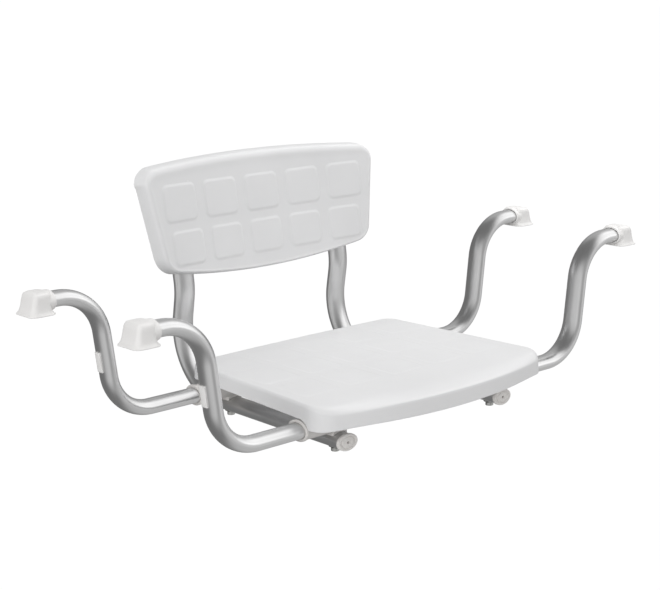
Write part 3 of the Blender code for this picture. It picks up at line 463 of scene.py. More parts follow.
def patch_surface(name, outline, levels, inside, corner, place):
    """Rings of the outline, then a grid that blends the last ring's sides."""
    body = bmesh.new()
    count = len(outline)
    rings = []
    for level in levels:
        rings.append([body.verts.new(place(*level(point, normal))) for point, normal in outline])
    bridge(body, rings)
    last = rings[-1]
    flat = [Vector(levels[-1](point, normal)[:2]) for point, normal in outline]
    across = 2 * corner
    along = count // 2 - across
    grid = {}
    for i in range(across + 1):
        grid[i, 0] = (i - corner) % count
        grid[i, along] = corner + along + across - i
    for j in range(along + 1):
        grid[across, j] = corner + j
        grid[0, j] = (-corner - j) % count
    at = {key: flat[index] for key, index in grid.items()}
    verts = {key: last[index] for key, index in grid.items()}
    for i in range(1, across):
        for j in range(1, along):
            u = i / across
            v = j / along
            point = (1 - v) * at[i, 0] + v * at[i, along] + (1 - u) * at[0, j] + u * at[across, j]
            point -= (1 - u) * (1 - v) * at[0, 0] + u * (1 - v) * at[across, 0]
            point -= (1 - u) * v * at[0, along] + u * v * at[across, along]
            verts[i, j] = body.verts.new(place(point.x, point.y, inside(point.x, point.y)))
    for i in range(across):
        for j in range(along):
            body.faces.new((verts[i, j], verts[i + 1, j], verts[i + 1, j + 1], verts[i, j + 1]))
    return take(name, body)


def shell(item, thickness):
    """Give a surface a wall on its inner side."""
    modifier = item.modifiers.new("wall", "SOLIDIFY")
    modifier.thickness = thickness
    modifier.offset = -1.0
    modifier.use_even_offset = True
    bake(item)


def rounded_rectangle(middle, half_long, half_wide, radius, steps):
    points = []
    for corner, (sx, sy) in enumerate(((1, 1), (-1, 1), (-1, -1), (1, -1))):
        for step in range(steps + 1):
            angle = math.pi / 2 * (corner + step / steps)
            x = middle + sx * (half_long - radius) + radius * math.cos(angle)
            points.append((x, sy * (half_wide - radius) + radius * math.sin(angle)))
    return points


def smooth_rows(rows, steps):
    """Rows of numbers with a smooth curve through them."""
    out = []
    for index in range(len(rows) - 1):
        before = rows[max(index - 1, 0)]
        first, last = rows[index], rows[index + 1]
        after = rows[min(index + 2, len(rows) - 1)]
        for step in range(steps):
            t = step / steps
            row = []
            for a, b, c, d in zip(before, first, last, after):
                row.append(
                    0.5 * (2 * b + (c - a) * t + (2 * a - 5 * b + 4 * c - d) * t**2)
                    + 0.5 * (3 * b - a - 3 * c + d) * t**3
                )
            out.append(row)
    out.append(list(rows[-1]))
    return out


# Raised squares: corner radii outside and on the face, and the slope's profile, as (height,
# inset) shares of the raise and of the slope's width
SQUARE_CORNER, FACE_CORNER = 0.009, 0.003
SQUARE_PROFILE = (
    (-0.8, -0.15),
    (0.0, 0.0),
    (0.10, 0.18),
    (0.32, 0.40),
    (0.62, 0.60),
    (0.86, 0.80),
    (0.97, 1.0),
    (1.0, 1.3),
)


def square_points(half_wide, half_tall, radius, least):
    """Rounded rectangle with more points on sides over least, to follow a curved plate."""
    corners = rounded_rectangle(0, half_wide, half_tall, radius, 6)
    points = []
    for first, last in zip(corners, corners[1:] + corners[:1]):
        for step in range(8 if math.dist(first, last) > least else 1):
            part = step / 8
            x = first[0] + (last[0] - first[0]) * part
            points.append((x, first[1] + (last[1] - first[1]) * part))
    return points


def raised_square(name, wide, tall, raise_by, slope, place):
    """Soft-edged square; place gives a point of the surface from (x, y, height)."""
    body = bmesh.new()
    rows = []
    for height, inset in SQUARE_PROFILE:
        reach = inset * slope
        radius = max(SQUARE_CORNER - reach * 0.6, FACE_CORNER)
        points = square_points(wide / 2 - reach, tall / 2 - reach, radius, 0.01)
        rows.append([body.verts.new(place(x, y, height * raise_by)) for x, y in points])
    # Shrinking rings carry the surface to the middle
    face = SQUARE_PROFILE[-1][1] * slope
    for share in (0.8, 0.6, 0.4, 0.2):
        half_wide, half_tall = (wide / 2 - face) * share, (tall / 2 - face) * share
        points = square_points(half_wide, half_tall, FACE_CORNER * share, 0.01 * share)
        rows.append([body.verts.new(place(x, y, raise_by)) for x, y in points])
    bridge(body, rows)
    body.faces.new(rows[-1])
    return take(name, body)


# Seat plate

# Rounded edge: at the middle of the front it starts further back and is less deep
EDGE_LONGER, EDGE_SHALLOWER, EDGE_POWER, EDGE_CURVE = 0.018, 0.24, 1.8, 0.55
ROLL_LEVEL, ROLL_POWER = 0.65, 2.4
# Rows along the plate's sides, as shares of them, and steps of its other edges
SEAT_ROWS = (0.012, 0.028, 0.048, 0.072, 0.10, 0.13, 0.165, 0.20, 0.24, 0.28)
SEAT_COLUMNS, SEAT_CORNER_STEPS, EDGE_STEPS = 24, 12, 10
# Notches in the skirt, round the sleeves
NOTCH_WIDE, NOTCH_TALL, NOTCH_LONG, NOTCH_OUT = 0.0414, 0.0314, 0.07, 0.057
# Ribs across and along the underside
RIB_THICK, RIB_LOW, RIB_BEHIND = 0.0024, -0.018, 0.012
RIB_ROWS, RIB_COLUMNS = (-0.056, 0.006, 0.068), (-0.068, 0.004, 0.068)
# Nut bosses: bolt hole in the middle, and a pocket for the nut that opens inwards
BOSS_WIDE, BOSS_LOW, BOSS_HIGH = 0.020, 0.0523, 0.0730
HOLE_LONG, HOLE_MIDDLE = 0.020, 0.058
POCKET_SIZE, POCKET_IN, POCKET_Z = (0.019, 0.0106, 0.0056), 0.0035, 0.0593
SEAT_SQUARE_RAISE, SEAT_SQUARE_SLOPE = 0.00028, 0.0034


def centred(across):
    """1 in the middle of the seat and 0 at its sides."""
    return max(0.0, 1 - (across / SEAT_HALF) ** 2)


def seat_roll(across, along):
    """Height of the plate's top, which slopes down at the front."""
    distance = along - (SEAT_FRONT + SEAT_BOW * across * across + FRONT_FLARE * centred(across))
    long = ROLL_LONG - (SEAT_BOW - ROLL_BOW) * across * across
    reach = min(1.0, max(0.0, 1 - distance / long))
    return -ROLL_DROP * (1 - ROLL_LEVEL * centred(across)) * reach**ROLL_POWER


def seat_level(share):
    """Ring on the rounded edge, whose radius grows from the sides to the front."""

    def level(point, normal):
        front = max(0.0, -normal.y)
        radius = SEAT_EDGE + (FRONT_EDGE - SEAT_EDGE) * front
        flare = FRONT_FLARE * centred(point.x) * front
        longer = EDGE_LONGER * centred(point.x) * front
        wide = radius + flare + longer - SKIRT_DRAFT
        place = point - normal * (SKIRT_DRAFT + wide * share)
        curve = max(0.0, 1 - (1 - share) ** EDGE_POWER) ** EDGE_CURVE
        down = (radius - EDGE_SHALLOWER * longer) * (1 - curve)
        return place.x, place.y, seat_roll(place.x, place.y) - down

    return level


def skirt_deep(along):
    """Depth of the skirt, which dips at the front corners and steps up behind the front sleeves."""
    dip = ease((along + CORNER_FROM) / (CORNER_FROM - CORNER_TO))
    front = FRONT_SKIRT + CORNER_DIP * dip
    return front + (SIDE_SKIRT - front) * ease((along + ARM_ROW + SKIRT_STEP) / SKIRT_STEP_LONG)


def skirt_level(share, inset=0.0, up=0.0):
    """Ring of the skirt, from its foot to the rounded edge."""
    base = seat_level(0.0)

    def level(point, normal):
        top = base(point, normal)
        place = Vector(point).lerp(Vector(top[:2]), share) - normal * inset
        low = -skirt_deep(point.y) + up
        return place.x, place.y, low + (top[2] - low) * share

    return level


def seat_place(x, y, z):
    return Vector((x, y + SHIFT, z + SEAT_TOP))


def make_plate():
    last = SEAT_ROWS[-1]
    rows = list(SEAT_ROWS) + [last + (1 - last) * step / 16 for step in range(1, 16)]
    outline = rounded_outline(
        SEAT_FRONT,
        SEAT_BACK,
        SEAT_HALF,
        SEAT_TAPER,
        (SEAT_BOW, SEAT_BACK_BOW),
        (SEAT_FRONT_RADIUS, SEAT_BACK_RADIUS),
        rows,
        SEAT_COLUMNS,
        SEAT_CORNER_STEPS,
    )
    # The foot of the skirt has a small rounding
    levels = [skirt_level(0.0, 0.0006)]
    levels += [skirt_level(0.0, 0.0001, 0.0003), skirt_level(0.0, 0.0, 0.0008)]
    levels += [skirt_level(share) for share in (0.12, 0.28, 0.46, 0.64, 0.82)]
    for step in range(EDGE_STEPS + 1):
        levels.append(seat_level(1 - math.cos(math.pi / 2 * step / EDGE_STEPS)))
    corner = SEAT_COLUMNS + SEAT_CORNER_STEPS // 2
    plate = patch_surface("seat", outline, levels, seat_roll, corner, seat_place)
    shell(plate, SEAT_WALL)
    for vertex in plate.data.vertices:
        low = SEAT_TOP - skirt_deep(vertex.co.y - SHIFT)
        vertex.co.z = max(vertex.co.z, low)
    for _, side, along in CORNERS:
        place = (side * (FRAME_X + NOTCH_OUT), along + SHIFT, ARM_Z)
        combine(plate, rod("notch", NOTCH_WIDE, NOTCH_TALL, NOTCH_LONG, ALONG_X, place))
    return plate


def make_seat_ribs():
    ribs = []
    high = -SEAT_WALL / 2
    up = SEAT_TOP + (RIB_LOW + high) / 2
    front = SEAT_FRONT + ROLL_LONG + RIB_BEHIND
    back = SEAT_BACK - SEAT_WALL / 2
    for along in (front,) + RIB_ROWS:
        wide = 2 * (SEAT_HALF - SEAT_TAPER * along - SEAT_WALL / 2)
        ribs.append(box("rib", (wide, RIB_THICK, high - RIB_LOW), (0, along + SHIFT, up)))
    for across in RIB_COLUMNS:
        place = (across, (back + front) / 2 + SHIFT, up)
        ribs.append(box("rib", (RIB_THICK, back - front, high - RIB_LOW), place))
    return ribs


def make_bosses():
    bosses = []
    for _, side, along in CORNERS:
        across, place = side * FRAME_X, along + SHIFT
        up = (BOSS_LOW + BOSS_HIGH) / 2
        tall = BOSS_HIGH - BOSS_LOW
        boss = rod("boss", BOSS_WIDE, BOSS_WIDE, tall, ALONG_Z, (across, place, up), 40)
        combine(boss, box("pocket", POCKET_SIZE, (across - side * POCKET_IN, place, POCKET_Z)))
        middle = (across, place, HOLE_MIDDLE)
        combine(boss, rod("hole", BOLT_HOLE, BOLT_HOLE, HOLE_LONG, ALONG_Z, middle, 24))
        bosses.append(boss)
    return bosses


def make_seat_squares():
    squares = []
    for row in (-1, 0, 1):
        for column in (-2, -1, 0, 1, 2):
            x0 = column * SQUARE_PITCH
            y0 = SQUARE_ROW_Y + row * SQUARE_ROW_PITCH

            def on_seat(x, y, height, x0=x0, y0=y0):
                return seat_place(x0 + x, y0 + y, height)

            size = (SQUARE_WIDE, SQUARE_LONG, SEAT_SQUARE_RAISE, SEAT_SQUARE_SLOPE)
            squares.append(raised_square("square", *size, on_seat))
    return squares


def make_seat():
    seat = join([make_plate()] + make_seat_ribs() + make_bosses() + make_seat_squares())
    finish(seat, "moulded_seat", "seat_white", "seat", "seat_plate", angle=32.0)


# Backrest panel


def frame_path():
    """Frame tube seen from the side, up to where it leans back, and its heading there."""
    path = [(FRAME_FRONT, FRAME_Z)]
    run(path, 0.0, FRAME_BEND_Y - FRAME_FRONT, 8)
    heading = bend(path, 0.0, FRAME_BEND_RADIUS, math.pi / 2 + FRAME_FORWARD, 36)
    run(path, heading, FRAME_NECK, 2)
    heading = bend(path, heading, FRAME_SWAY_RADIUS, -FRAME_FORWARD - BACK_LEAN, 10)
    return path, heading


def tube_depth():
    """How far the tubes' middles lie behind the middle of the backrest."""
    return TUBE_BEHIND - PANEL_BOW * FRAME_X**2


def back_matrix():
    """Place of the backrest: its face's middle is the origin, and it leans back."""
    path, heading = frame_path()
    run(path, heading, PANEL_MID)
    y, z = path[-1]
    turn = Matrix.Rotation(-BACK_LEAN, 4, "X")
    forward = turn @ Vector((0, -tube_depth(), 0))
    return Matrix.Translation(Vector((0, y + SHIFT, z)) + forward) @ turn


# Rim of the backrest, from its rear edge to its face, in mm: depth, inset. The top is rounded
# more and the foot less, and at the upper corners the rear edge stands out
RIM_TOP_MORE, RIM_FOOT_LESS, RIM_EAR = 0.45, 0.55, 0.0024
RIM = (
    (25.0, 0.0),
    (24.2, 0.05),
    (22.5, 0.17),
    (19.5, 0.46),
    (16.0, 0.90),
    (12.5, 1.35),
    (9.5, 1.85),
    (7.0, 2.35),
    (5.0, 2.85),
    (3.4, 3.5),
    (2.1, 4.4),
    (1.1, 5.6),
    (0.4, 7.0),
    (0.05, 8.4),
    (0.0, 9.6),
    (0.12, 11.0),
    (0.30, 12.6),
    (0.42, 14.2),
    (0.45, 15.6),
)
PANEL_COLUMNS, PANEL_CORNER_STEPS = 30, 22
PANEL_RIBS, PANEL_RIB_TALL = (-0.012, 0.045), 0.0065
# Seats of the tubes behind the panel
TUBE_SEATS, TUBE_SEAT_WIDE, TUBE_SEAT_TALL = (-0.045, 0.040), 0.026, 0.022
# Rows of squares: middle, height, and width as a share
PANEL_SQUARES = ((0.0215, 0.054, 1.0), (-0.0405, 0.050, LOW_ROW_NARROW))
PANEL_SQUARE_RAISE, PANEL_SQUARE_SLOPE = 0.0012, 0.0042


def rim_ear(normal, depth):
    """The rear edge stands out a little where the upper corners meet the sides."""
    angle = math.degrees(math.atan2(normal.y, abs(normal.x)))
    rise, fall = ease((angle + 8.5) / 14), ease((62 - angle) / 50)
    return RIM_EAR * rise * fall * max(0.0, depth / PANEL_DEEP) ** 1.5


def panel_level(depth, inset):
    def level(point, normal):
        wider = 1 + RIM_TOP_MORE * max(0.0, normal.y) - RIM_FOOT_LESS * max(0.0, -normal.y)
        place = point - normal * (inset * wider - rim_ear(normal, depth))
        return place.x, place.y, depth

    return level


def panel_place(across, up, depth):
    return Vector((across, depth - PANEL_BOW * across * across, up))


def make_panel_shell():
    outline = rounded_outline(
        PANEL_LOW,
        PANEL_HIGH,
        PANEL_HALF,
        PANEL_TAPER,
        (PANEL_LOW_BOW, PANEL_HIGH_BOW),
        (PANEL_LOW_RADIUS, PANEL_HIGH_RADIUS),
        [step / 14 for step in range(1, 14)],
        PANEL_COLUMNS,
        PANEL_CORNER_STEPS,
    )
    levels = [panel_level(deep / 1000, inset / 1000) for deep, inset in RIM]
    corner = PANEL_COLUMNS + PANEL_CORNER_STEPS // 2
    panel = patch_surface("panel", outline, levels, lambda x, y: PANEL_DISH, corner, panel_place)
    shell(panel, PANEL_WALL)
    wide, tall = FRAME_WIDE + 2 * ROOM, FRAME_TALL + 2 * ROOM
    for side in (-1, 1):
        place = (side * FRAME_X, tube_depth(), PANEL_LOW)
        combine(panel, rod("room", wide, tall, 0.05, ALONG_Z, place))
    return panel


def make_panel_ribs():
    """Ribs across the back, bowed like the panel."""
    ribs = []
    tall = PANEL_WALL / 2 + PANEL_RIB_TALL
    thick = RIB_THICK / 2
    for up in PANEL_RIBS:
        half = PANEL_HALF - PANEL_TAPER * up - PANEL_INSET * 0.6
        rings = []
        for step in range(41):
            x = -half + 2 * half * step / 40
            y = PANEL_DISH + PANEL_WALL / 2 - PANEL_BOW * x * x
            corners = ((0, -thick), (tall, -thick), (tall, thick), (0, thick))
            rings.append([(x, y + deep, up + rise) for deep, rise in corners])
        ribs.append(loft("rib", rings))
    return ribs


def make_tube_seats():
    """Blocks behind the panel, hollowed for the frame tubes."""
    blocks = []
    inner, outer = FRAME_X - TUBE_SEAT_WIDE / 2, FRAME_X + TUBE_SEAT_WIDE / 2
    start = (PANEL_WALL - PANEL_BOW * (inner**2 + outer**2)) / 2
    end = tube_depth() - FRAME_TALL / 4
    size = (TUBE_SEAT_WIDE, end - start, TUBE_SEAT_TALL)
    wide, tall = FRAME_WIDE + 2 * GAP, FRAME_TALL + 2 * GAP
    for side in (-1, 1):
        for up in TUBE_SEATS:
            block = box("seat", size, (side * FRAME_X, (start + end) / 2, up))
            soften(block, 0.0008, 2)
            place = (side * FRAME_X, tube_depth(), up)
            combine(block, rod("tube", wide, tall, 0.04, ALONG_Z, place))
            blocks.append(block)
    return blocks


def make_panel_squares():
    squares = []
    for up, tall, narrow in PANEL_SQUARES:
        for column in (-2, -1, 0, 1, 2):
            x0 = column * SQUARE_PITCH * narrow

            def on_panel(x, y, height, x0=x0, up=up):
                slope = -2 * PANEL_BOW * (x0 + x)
                long = math.hypot(1, slope)
                across = x0 + x + height * slope / long
                face = PANEL_DISH - PANEL_BOW * (x0 + x) ** 2
                return Vector((across, face - height / long, up + y))

            size = (SQUARE_WIDE * narrow, tall, PANEL_SQUARE_RAISE, PANEL_SQUARE_SLOPE)
            squares.append(raised_square("square", *size, on_panel))
    return squares


def make_panel():
    shapes = [make_panel_shell()] + make_panel_ribs() + make_tube_seats() + make_panel_squares()
    panel = join(shapes)
    panel.data.transform(back_matrix())
    finish(panel, "moulded_backrest", "panel_white", "seat", "backrest_panel", angle=32.0)


# Tubes


def make_frame_tubes():
    path, heading = frame_path()
    run(path, heading, FRAME_TOP, 6)
    for name, side in (("left", -1), ("right", 1)):
        places = [Vector((side * FRAME_X, y + SHIFT, z)) for y, z in path]
        tube = sweep("tube", places, Vector((1, 0, 0)), FRAME_WIDE, FRAME_TALL)
        finish(tube, name + "_bent_tube", "frame_aluminium", "seat", name + "_frame_tube")


def arm_path():
    """Arm seen from the front, from its inner end, and the place where its riser starts."""
    path = [(-ARM_INNER, 0.0)]
    run(path, 0.0, ARM_INNER, 8)
    heading = bend(path, 0.0, ARM_LOW_RADIUS, ARM_BEND, 28)
    riser = path[-1]
    run(path, heading, ARM_RISER, 4)
    bend(path, heading, ARM_HIGH_RADIUS, -ARM_BEND, 28)
    return path, riser


def arm_matrix(name, side, along):
    low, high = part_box(name + "_arm")
    reach = max(abs(low.x), abs(high.x))
    path, _ = arm_path()
    start = reach - path[-1][0] - FOOT_MOUTH - ARM_STUB
    place = Matrix.Translation((side * start, along + SHIFT, ARM_Z))
    return place if side > 0 else place @ Matrix.Rotation(math.pi, 4, "Z")


def slot_shape():
    """Shape that cuts the arm's slot; its ends are half round."""
    radius = BOLT_HOLE / 2
    points = []
    for centre, first, count in ((radius - SLOT_TO, 8, 17), (-SLOT_FROM - radius, 24, 16)):
        for step in range(first, first + count):
            angle = math.pi * step / 16
            points.append((centre + radius * math.cos(angle), radius * math.sin(angle)))
    return loft("slot", [[(x, y, height) for x, y in points] for height in (-0.02, 0.02)])


def make_arm_shape():
    path, _ = arm_path()
    run(path, 0.0, FOOT_MOUTH + ARM_STUB, 2)
    places = [Vector((across, 0, up)) for across, up in path]
    tube = sweep("arm", places, Vector((0, 1, 0)), ARM_WIDE, ARM_TALL)
    combine(tube, slot_shape())
    return tube


# Rim feet: height, inner end, outer end, half width and corner radius of each level, in mm
FOOT_LEVELS = (
    (-15.0, 1.5, 37.1, 21.0, 9.0),
    (-14.8, 1.0, 37.7, 21.6, 9.5),
    (-14.3, 0.8, 38.0, 21.9, 9.8),
    (-13.6, 1.0, 37.8, 21.7, 9.8),
    (-12.9, 1.8, 37.2, 21.2, 9.5),
    (-11.8, 3.0, 36.2, 20.4, 9.0),
    (-9.5, 4.4, 34.6, 19.4, 8.2),
    (-5.0, 5.2, 32.9, 18.6, 7.5),
    (0.0, 5.5, 31.6, 18.1, 7.0),
    (5.0, 5.5, 30.6, 17.8, 6.8),
    (8.2, 5.5, 29.7, 17.3, 6.6),
    (10.6, 5.6, 28.4, 16.2, 6.2),
    (11.9, 6.0, 26.7, 14.4, 5.5),
    (12.5, 6.8, 24.6, 12.0, 4.7),
    (12.8, 8.2, 21.6, 9.0, 4.0),
)
# Grooves under a foot: places from its middle, its middle, their height and size
FOOT_GROOVES, FOOT_MIDDLE, FOOT_UNDER = (-0.012, -0.006, 0.006, 0.012), 0.0193, -0.015
GROOVE_SIZE = (0.002, 0.036, 0.0016)
# Ring round the arm at the foot's mouth: how far out, and inset of its rounded edge
COLLAR_WALL = 0.0028
COLLAR_PROFILE = (
    (0.012, 0.0),
    (0.0052, 0.0),
    (0.0009, 0.0),
    (0.0003, 0.0003),
    (0.0, 0.0009),
    (0.0, 0.0019),
    (0.0003, 0.0024),
    (0.0012, 0.0025),
    (0.012, 0.0025),
)
# Wall pads: size, how far the middle lies inside the tube's face, and place up the riser
PAD_SIZE, PAD_SINK, PAD_UP = (0.005, 0.0105, 0.027), 0.0005, 0.0215
# End caps: thickness, and length and middle of the spigot in the tube
CAP_THICK, SPIGOT_LONG, SPIGOT_MIDDLE = 0.0025, 0.011, -0.0045


def make_foot_shape():
    rings = []
    for height, start, end, half, radius in smooth_rows(FOOT_LEVELS, 4):
        points = rounded_rectangle((start + end) / 2, (end - start) / 2, half, radius, 8)
        rings.append([(x / 1000, y / 1000, height / 1000) for x, y in points])
    foot = loft("foot", rings)
    for across in FOOT_GROOVES:
        combine(foot, box("groove", GROOVE_SIZE, (FOOT_MIDDLE + across, 0, FOOT_UNDER)))
    rings = []
    half_wide, half_tall = ARM_WIDE / 2 + COLLAR_WALL, ARM_TALL / 2 + COLLAR_WALL
    for along, inset in COLLAR_PROFILE:
        points = oval(half_wide - inset, half_tall - inset, 48)
        rings.append([(along, y, z) for y, z in points])
    return join([foot, loft("collar", rings, ends=False)])


def make_pad_shape():
    """Wall pad in the arm's frame, on the outer side of the riser."""
    pad = box("pad", PAD_SIZE, (ARM_TALL / 2 - PAD_SINK, 0, 0))
    soften(pad, 0.0010, 3)
    combine(pad, rod("tube", ARM_TALL, ARM_WIDE, 0.05, ALONG_Z, (0, 0, 0)))
    _, riser = arm_path()
    x, z = riser[0] + PAD_UP * math.cos(ARM_BEND), riser[1] + PAD_UP * math.sin(ARM_BEND)
    lean = Matrix.Rotation(math.pi / 2 - ARM_BEND, 4, "Y")
    pad.data.transform(Matrix.Translation((x, 0, z)) @ lean)
    return pad


def make_cap_shape(wide, tall, wall):
    """Plug on a tube's end, with its spigot in the bore."""
    cap = rod("cap", wide, tall, CAP_THICK, ALONG_Z, (0, 0, GAP + CAP_THICK / 2))
    soften(cap, 0.0007, 3)
    less = 2 * wall + 2 * GAP
    place = (0, 0, SPIGOT_MIDDLE)
    return join([cap, rod("spigot", wide - less, tall - less, SPIGOT_LONG, ALONG_Z, place)])


def make_arms():
    path, _ = arm_path()
    arm = make_arm_shape()
    foot = make_foot_shape()
    foot.data.transform(Matrix.Translation((path[-1][0] + FOOT_MOUTH, 0, path[-1][1])))
    pad = make_pad_shape()
    cap = make_cap_shape(ARM_TALL, ARM_WIDE, ARM_WALL)
    turn = Matrix.Rotation(-math.pi / 2, 4, "Y")
    cap.data.transform(Matrix.Translation((-ARM_INNER, 0, 0)) @ turn)
    kinds = (
        (arm, "_bent_arm", "arm_aluminium", "_arm"),
        (foot, "_flared_foot", "foot_white", "_rim_foot"),
        (pad, "_riser_pad", "foot_white", "_wall_pad"),
        (cap, "_inner_cap", "plug_beige", "_arm_plug"),
    )
    for name, side, along in CORNERS:
        matrix = arm_matrix(name, side, along)
        for shape, title, slot, node in kinds:
            lay(shape, matrix, name + title, slot, name + "_arm", name + node)
    drop(arm, foot, pad, cap)


# Sleeves, plugs and clamps

# Sleeve: its outer rim, and the saddle that sits on the frame tube
RIM_MORE, RIM_LONG, RIM_BACK = 0.0022, 0.004, 0.0018
SADDLE_LONG, SADDLE_WIDE, SADDLE_SINK = 0.024, 0.020, 0.005
# Clamp bolt: hexagon head, whose corners a round of CHAMFER_WIDE cuts, and its shank
HEAD_FLATS, HEAD_TALL, CHAMFER_WIDE = 0.010, 0.0045, 0.0110
SHANK_WIDE, SHANK_LONG, SHANK_MIDDLE = 0.006, 0.0633, 0.03515


def make_sleeve_shape():
    bore_wide, bore_tall = ARM_WIDE + 2 * GAP, ARM_TALL + 2 * GAP
    wide, tall = bore_wide + 2 * SLEEVE_WALL, bore_tall + 2 * SLEEVE_WALL
    centre = ((SLEEVE_OUT - SLEEVE_IN) / 2, 0, 0)
    long = SLEEVE_OUT + SLEEVE_IN
    sleeve = rod("sleeve", wide, tall, long, ALONG_X, centre)
    soften(sleeve, 0.0006, 2)
    place = (SLEEVE_OUT - RIM_BACK, 0, 0)
    rim = rod("rim", wide + RIM_MORE, tall + RIM_MORE, RIM_LONG, ALONG_X, place)
    soften(rim, 0.0011, 4)
    combine(sleeve, rim, "UNION")
    down = ARM_Z - FRAME_Z
    low, high = -down + FRAME_TALL / 2 - SADDLE_SINK, tall / 2
    saddle = box("saddle", (SADDLE_LONG, SADDLE_WIDE, high - low), (0, 0, (high + low) / 2))
    soften(saddle, 0.0015, 3)
    combine(sleeve, saddle, "UNION")
    combine(sleeve, rod("bore", bore_wide, bore_tall, long + 0.02, ALONG_X, centre))
    frame_wide, frame_tall = FRAME_WIDE + 2 * GAP, FRAME_TALL + 2 * GAP
    combine(sleeve, rod("frame", frame_wide, frame_tall, 0.06, ALONG_Y, (0, 0, -down)))
    combine(sleeve, rod("hole", BOLT_HOLE, BOLT_HOLE, 0.06, ALONG_Z, (0, 0, 0), 24))
    return sleeve


def make_bolt_shape():
    turn = Matrix.Rotation(math.radians(30), 4, "Z")
    wide = 2 * HEAD_FLATS / math.sqrt(3)
    place = (0, 0, HEAD_TALL / 2)
    head = rod("bolt", wide, wide, HEAD_TALL, turn, place, 6)
    chamfer = rod("chamfer", CHAMFER_WIDE, CHAMFER_WIDE, HEAD_TALL, ALONG_Z, place)
    soften(chamfer, 0.0008, 3)
    combine(head, chamfer, "INTERSECT")
    place = (0, 0, SHANK_MIDDLE)
    shank = rod("shank", SHANK_WIDE, SHANK_WIDE, SHANK_LONG, ALONG_Z, place, 24)
    soften(shank, 0.0006, 2)
    return join([head, shank])


def make_clamps():
    sleeve = make_sleeve_shape()
    bolt = make_bolt_shape()
    for name, side, along in CORNERS:
        across = side * FRAME_X
        place = Matrix.Translation((across, along + SHIFT, ARM_Z))
        place = place @ Matrix.Rotation(0 if side > 0 else math.pi, 4, "Z")
        lay(sleeve, place, name + "_guide_sleeve", "sleeve_beige", "seat", name + "_sleeve")
        place = Matrix.Translation((across, along + SHIFT, 0))
        lay(bolt, place, name + "_hex_bolt", "zinc_steel", "seat", name + "_clamp_bolt")
    drop(sleeve, bolt)


# Front plugs: place along the tube from its end, and size as a share of the largest oval
PLUG_HALF_WIDE, PLUG_HALF_TALL, PLUG_HOLE = 0.0165, 0.0111, 0.0036
PLUG_RINGS = (
    (0.012, 0.82),
    (0.0003, 0.82),
    (0.0, 0.84),
    (0.0, 0.985),
    (-0.0004, 1.0),
    (-0.0028, 1.0),
    (-0.0036, 0.985),
    (-0.0041, 0.945),
    (-0.0043, 0.90),
    (-0.0043, 0.735),
    (-0.0041, 0.715),
    (-0.0036, 0.705),
    (-0.0035, 0.69),
    (-0.0036, 0.675),
    (-0.0041, 0.665),
    (-0.0043, 0.645),
    (-0.0044, 0.30),
)
# Screw head, from the tube outwards: place along and radius, in mm; and its cross
SCREW_PROFILE = ((0.0, 4.6), (0.3, 5.0), (1.2, 4.9), (2.2, 4.3), (2.9, 3.2), (3.3, 1.6))
SCREW_CROSS = ((0.0048, 0.003, 0.0010), (0.0010, 0.003, 0.0048))
SCREW_WIDE, SCREW_LONG, SCREW_MIDDLE = 0.005, 0.0296, -0.0145


def make_plugs():
    rings = []
    for along, size in PLUG_RINGS:
        points = oval(size * PLUG_HALF_WIDE, size * PLUG_HALF_TALL, 64, -1)
        rings.append([(x, along, z) for x, z in points])
    plug = loft("plug", rings)
    combine(plug, rod("hole", PLUG_HOLE, PLUG_HOLE, 0.012, ALONG_Y, (0, -0.0030, 0), 24))
    cap = make_cap_shape(FRAME_WIDE, FRAME_TALL, FRAME_WALL)
    top = back_matrix() @ Vector((0, tube_depth(), FRAME_TOP - PANEL_MID))
    lean = Matrix.Rotation(-BACK_LEAN, 4, "X")
    for name, side in (("left", -1), ("right", 1)):
        place = Matrix.Translation((side * FRAME_X, FRAME_FRONT - GAP + SHIFT, FRAME_Z))
        lay(plug, place, name + "_oval_plug", "plug_beige", "seat", name + "_front_plug")
        place = Matrix.Translation((side * FRAME_X, top.y, top.z)) @ lean
        lay(cap, place, name + "_upper_cap", "plug_beige", "seat", name + "_top_plug")
    drop(plug, cap)


def make_screws():
    """Rounded screw heads with a cross recess, on the backs of the uprights."""
    rings = []
    for along, radius in SCREW_PROFILE:
        points = oval(radius / 1000, radius / 1000, 32, -1)
        rings.append([(x, along / 1000, z) for x, z in points])
    head = loft("screw", rings)
    for size in SCREW_CROSS:
        combine(head, box("cross", size, (0, SCREW_PROFILE[-1][0] / 1000, 0)))
    place = (0, SCREW_MIDDLE, 0)
    shank = rod("shank", SCREW_WIDE, SCREW_WIDE, SCREW_LONG, ALONG_Y, place, 24)
    screw = join([head, shank])
    depth = tube_depth() + FRAME_TALL / 2 + GAP
    back = back_matrix()
    lean = Matrix.Rotation(-BACK_LEAN, 4, "X")
    for level, up in (("upper", TUBE_SEATS[1]), ("lower", TUBE_SEATS[0])):
        for name, side in ((level + "_left", -1), (level + "_right", 1)):
            place = Matrix.Translation(back @ Vector((side * FRAME_X, depth, up))) @ lean
            lay(screw, place, name + "_pan_screw", "zinc_steel", "seat", name + "_screw")
    drop(screw)


make_seat()
make_panel()
make_frame_tubes()
make_arms()
make_clamps()
make_plugs()
make_screws()

# The washers and nuts keep their own shapes
for name, _, _ in CORNERS:
    for kind in ("_saddle_washer", "_captive_nut"):
        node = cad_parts[name + kind]
        node.data.materials.clear()
        node.data.materials.append(FINISH["zinc_steel"])


# Floor, light and camera

FLOOR_HALF, FLOOR_DOWN = 60.0, 0.45


